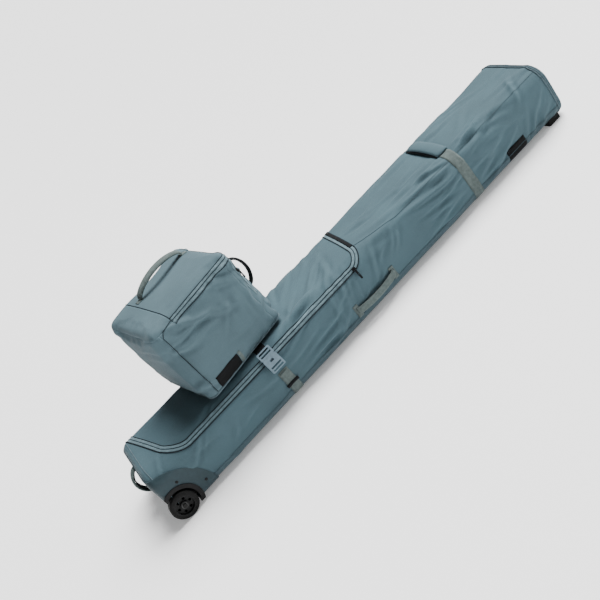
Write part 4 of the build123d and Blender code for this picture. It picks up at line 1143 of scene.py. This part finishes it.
def handle_tabs(name, tree, centres, normal, along, size, look, body, node):
    """Both end tabs of a handle; the first stands for the CAD node of the two."""
    for number, centre in enumerate(centres):
        nodes = (node,) if number == 0 else ()
        laid_patch(f"{name}_{number + 1}", tree, centre, normal, along, *size, look, body, *nodes)


def skin_point(x, s):
    points, normals = bag_surface(np.array([x]), np.array([s]))
    return Vector(drape(skin_tree, points, normals)[0])


# ---- Handles and patch of the ski bag ------------------------
NEAR_OUT, FOOT_OUT, UP, ALONG_X = (0, -1, 0), (-1, 0, 0), (0, 0, 1), (1, 0, 0)
SIDE_ENDS = (0.896, 1.074)
side_tabs = [at(x, -HALF, 0.069) for x in SIDE_ENDS]
side_ends = [skin_point(x, side_s(0.0715)) for x in SIDE_ENDS]
handle_tabs("side_tab", skin_tree, side_tabs, NEAR_OUT, UP, (0.050, 0.020, 0.0022), "webbing", "ski_bag",
            "side_handle_tabs")
arc_band("side_grip", side_ends, NEAR_OUT, 0.012, 0.026, 0.0035, "webbing", "side_handle", 0.0022, 0.5,
         "side_handle", sag=(0, 0, -0.007), lift=0.0026)
arc_band("side_grip_lining", side_ends, NEAR_OUT, 0.0095, 0.022, 0.0016, "black_webbing", "side_handle",
         0.0, 0.5, sag=(0, 0, -0.005), lift=0.0008)

head_ends = [skin_point(HEAD_STRAP, float(s_of_plan(y))) for y in (-0.098, 0.102)]
lining_ends = [end - Vector((0.004, 0, 0)) for end in head_ends]
arc_band("head_grip", head_ends, UP, 0.013, 0.050, 0.0030, "shell_fabric", "head_handle", 0.0040, 0.45,
         "head_handle", lift=0.0026)
arc_band("head_grip_lining", lining_ends, UP, 0.009, 0.050, 0.0022, "black_webbing", "head_handle",
         0.0, 0.45, lift=0.0026)

foot_tabs = [at(FOOT_X, 0.030, z) for z in (0.052, 0.174)]
foot_ends = [at(FOOT_X - 0.0035, 0.030, z) for z in (0.060, 0.166)]
handle_tabs("foot_tab", skin_tree, foot_tabs, FOOT_OUT, UP, (0.020, 0.028, 0.002), "black_webbing", "ski_bag",
            "foot_handle_tabs")
arc_band("foot_grip", foot_ends, FOOT_OUT, 0.038, 0.028, 0.0050, "webbing", "foot_handle", 0.0030, 0.55,
         "foot_handle", lift=0.0016)
arc_band("foot_grip_lining", foot_ends, FOOT_OUT, 0.034, 0.0285, 0.0040, "black_webbing", "foot_handle",
         0.0, 0.55)

laid_patch("side_label", skin_tree, at(1.694, -HALF, 0.046), NEAR_OUT, ALONG_X, 0.088, 0.046, 0.0012,
           "patch_black", "ski_bag", "side_patch")

# A black zip garage runs along the lid's head end, on the shell's side of the zip.
garage = lid_line[(lid_line[:, 0] > 1.030) & (lid_line[:, 1] > S_TOP + 0.010)]
seat(surface_band("zip_garage", garage, TAPE + 0.002, 0.0005, 0.0022, "black_webbing", 5, 0.0012), "ski_bag")


# ---- Seams, zip and fittings of the boot bag -----------------
def boot_laid(points):
    """Places on the plain box of the boot bag, laid on its cloth, and their outward directions."""
    local, normal = boot_round(np.asarray(points, float))
    places, out = boot_world(local), boot_turned(normal)
    return drape(boot_tree, places, out, 0.03), out


def boot_tube(name, line, radius, look, body, sink=0.4):
    laid, out = boot_laid(resample(line, 0.005))
    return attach(tube(name, laid + out * radius * (1 - sink), radius, look), body)


def boot_band(name, line, left, right, body, *nodes, lift=0.0003):
    line = resample(line, 0.005)
    _, out = boot_round(line)
    tangent = np.gradient(line, axis=0)
    tangent /= np.maximum(np.linalg.norm(tangent, axis=1, keepdims=True), 1e-9)
    side = np.cross(out, tangent)
    offsets = np.linspace(-left, right, 5)
    laid, normals = boot_laid(line[:, None, :] + side[:, None, :] * offsets[None, :, None])
    return seat(band(name, laid, normals, 0.0010, "zip_tape", lift), body, *nodes)


def level_run(line, z):
    """Plan line of the boot bag at height z."""
    return np.stack([line[:, 0], line[:, 1], np.full(len(line), z)], -1)


BOOT_TAPE = 0.0105
WELT_RISE = 0.0125           # welts above and below the middle of the zip
SEAM_STOP = 0.014            # upright seams stop this far under the zip
bx, by, bz = BOOT_HALF[0], BOOT_HALF[1], 2 * BOOT_HALF[2]
turn_in = BOOT_R * 0.6
flap_line = rounded([(FLAP_X, -by), (bx, -by), (bx, by), (FLAP_X, by)], (turn_in, turn_in))
low_loop = rounded([(0, -by), (bx, -by), (bx, by), (-bx, by), (-bx, -by), (0, -by)], (turn_in,) * 4)
flap_run = level_run(flap_line, FLAP_Z)
edge_run = [(bx, -by, 0.130), (bx, -by, FLAP_Z - 0.012)]
flap_edge = ((-by, bz - 0.010), (-by + 0.02, bz), (by - 0.02, bz), (by, bz - 0.010))
flap_seam = [(FLAP_X, y, z) for y, z in flap_edge]
corner_seam = [(-PANEL_X, -by, FLAP_Z - SEAM_STOP), (-0.135, -by, FLAP_Z), (FLAP_X, -by, FLAP_Z + 0.004)]
boot_band("boot_tape", flap_run, BOOT_TAPE, -GAP, "boot_bag", "boot_zip_tape")
boot_band("flap_tape", flap_run, -GAP, BOOT_TAPE, "boot_flap", "flap_zip_tape")
boot_tube("boot_teeth", flap_run, 0.0012, "seam", "boot_bag", 0.1)
boot_tube("boot_zip_welt", flap_run - np.array([0, 0, WELT_RISE]), 0.0014, "seam", "boot_bag")
boot_tube("flap_zip_welt", flap_run + np.array([0, 0, WELT_RISE]), 0.0014, "seam", "boot_flap")
boot_tube("flap_seam", flap_seam, 0.0013, "seam", "boot_bag")
boot_band("boot_edge_tape", edge_run, 0.014, 0.014, "boot_bag", lift=0.0006)
boot_tube("boot_edge_teeth", edge_run, 0.0012, "seam", "boot_bag", 0.1)
for name, x, y in (("near_foot", -PANEL_X, -by), ("far_foot", -PANEL_X, by), ("far_head", PANEL_X, by)):
    upright = [(x, y, PANEL_LOW), (x, y, FLAP_Z - SEAM_STOP)]
    boot_tube(f"boot_{name}_seam", upright, 0.0012, "seam", "boot_bag", 0.5)
boot_tube("boot_corner_seam", corner_seam, 0.0012, "seam", "boot_bag", 0.5)
piping = boot_tube("boot_piping_cord", level_run(low_loop, 0.013), 0.0024, "piping", "boot_bag", 0.35)
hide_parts("boot_piping")

LABEL_X, LABEL_Z = -0.0775, 0.0375
HANDLE_Y = 0.070
boot_near = boot_turned([0, -1, 0])
boot_head = boot_turned([1, 0, 0])
laid_patch("boot_label", boot_tree, boot_point(LABEL_X, -by, LABEL_Z), boot_near, boot_head,
           0.103, 0.053, 0.0012, "patch_black", "boot_bag", "boot_patch")
laid_patch("boot_label_tab", boot_tree, boot_point(LABEL_X + 0.060, -by, LABEL_Z), boot_near, boot_head,
           0.012, 0.053, 0.0014, "webbing", "boot_bag")
boot_tabs = [boot_point(x, HANDLE_Y, bz) for x in (-0.066, 0.150)]
handle_tabs("boot_handle_tab", boot_tree, boot_tabs, UP, boot_head, (0.026, 0.027, 0.002), "webbing",
            "boot_flap", "boot_handle_tabs")

handle_ends = [boot_point(x, HANDLE_Y, bz + 0.0115) for x in (-0.058, 0.142)]
handle_out = boot_turned([0, -0.35, 0.94])
haul_ends = [boot_point(bx + 0.004, -0.120, z) for z in (0.148, 0.258)]
loop_ends = [boot_point(bx + 0.002, y, 0.266) for y in (-0.095, 0.015)]
arc_band("boot_grip", handle_ends, handle_out, 0.040, 0.027, 0.0036, "webbing", "boot_handle", 0.0035, 0.55,
         "boot_handle")
arc_band("boot_grip_lining", handle_ends, handle_out, 0.0365, 0.022, 0.0016, "black_webbing", "boot_handle",
         0.0, 0.55)
arc_band("haul_loop", haul_ends, boot_head, 0.034, 0.020, 0.0050, "black_webbing", "boot_haul_loop", 0.0035, 0.5,
         "boot_haul_loop")
arc_band("top_loop", loop_ends, boot_head, 0.011, 0.016, 0.0030, "black_webbing", "boot_top_loop", 0.0015, 0.6,
         "boot_top_loop")

# ---- Camera, floor and light ---------------------------------
CAMERA_AZ = math.radians(-8.93)
CAMERA_EL = math.radians(27.65)
CAMERA_ROLL = math.radians(-42.34)
CAMERA_FAR = 3.02
FOCAL = 53.18


def make_camera():
    az, el, roll = CAMERA_AZ, CAMERA_EL, CAMERA_ROLL
    back = Vector((math.sin(az) * math.cos(el), -math.cos(az) * math.cos(el), math.sin(el)))
    right = Vector((math.cos(az), math.sin(az), 0))
    up = back.cross(right)
    turned_right = right * math.cos(roll) + up * math.sin(roll)
    turned_up = up * math.cos(roll) - right * math.sin(roll)
    camera = bpy.data.objects.new("camera", bpy.data.cameras.new("camera"))
    bpy.context.scene.collection.objects.link(camera)
    camera.data.lens = FOCAL
    camera.data.sensor_width = 36
    camera.matrix_world = Matrix((turned_right, turned_up, back)).transposed().to_4x4()
    camera.location = at(0.803, 0, 0.166) + back * CAMERA_FAR
    bpy.context.scene.camera = camera


def area_light(name, place, target, size, power):
    light = bpy.data.lights.new(name, "AREA")
    light.size = size
    light.energy = power
    obj = bpy.data.objects.new(name, light)
    bpy.context.scene.collection.objects.link(obj)
    obj.location = place
    obj.rotation_euler = (Vector(target) - Vector(place)).to_track_quat("-Z", "Y").to_euler()


def make_floor():
    n = Nodes("floor")
    n.put("Base Color", n.mix(n.noise(n.place(), 2), (0.93, 0.93, 0.93), (0.95, 0.95, 0.95)))
    n.put("Roughness", 0.95)
    n.shader.inputs["Emission Color"].default_value = (1, 1, 1, 1)
    n.put("Emission Strength", 0.2)
    reach = 400              # so far that its edge doesn't show
    corners = [(-reach, -reach, 0), (reach, -reach, 0), (reach, reach, 0), (-reach, reach, 0)]
    floor = mesh_piece("floor", corners, [(0, 1, 2, 3)], n.material)


make_camera()
make_floor()
centre = at(0.95, 0, 0.1)
sun = bpy.data.lights.new("key", "SUN")
sun.energy = 8.6
sun.angle = 0.7
key = bpy.data.objects.new("key", sun)
bpy.context.scene.collection.objects.link(key)
key.rotation_euler = Vector((-1.7, -0.55, -2.5)).to_track_quat("-Z", "Y").to_euler()
area_light("front", centre + Vector((1.2, -3.2, 1.6)), centre, 2.4, 14)
area_light("head_side", centre + Vector((2.8, -0.8, 1.8)), centre, 2.0, 22)
world = bpy.data.worlds.new("studio")
world.use_nodes = True
world.node_tree.nodes["Background"].inputs[0].default_value = (1, 1, 1, 1)
world.node_tree.nodes["Background"].inputs[1].default_value = 0.28
bpy.context.scene.world = world
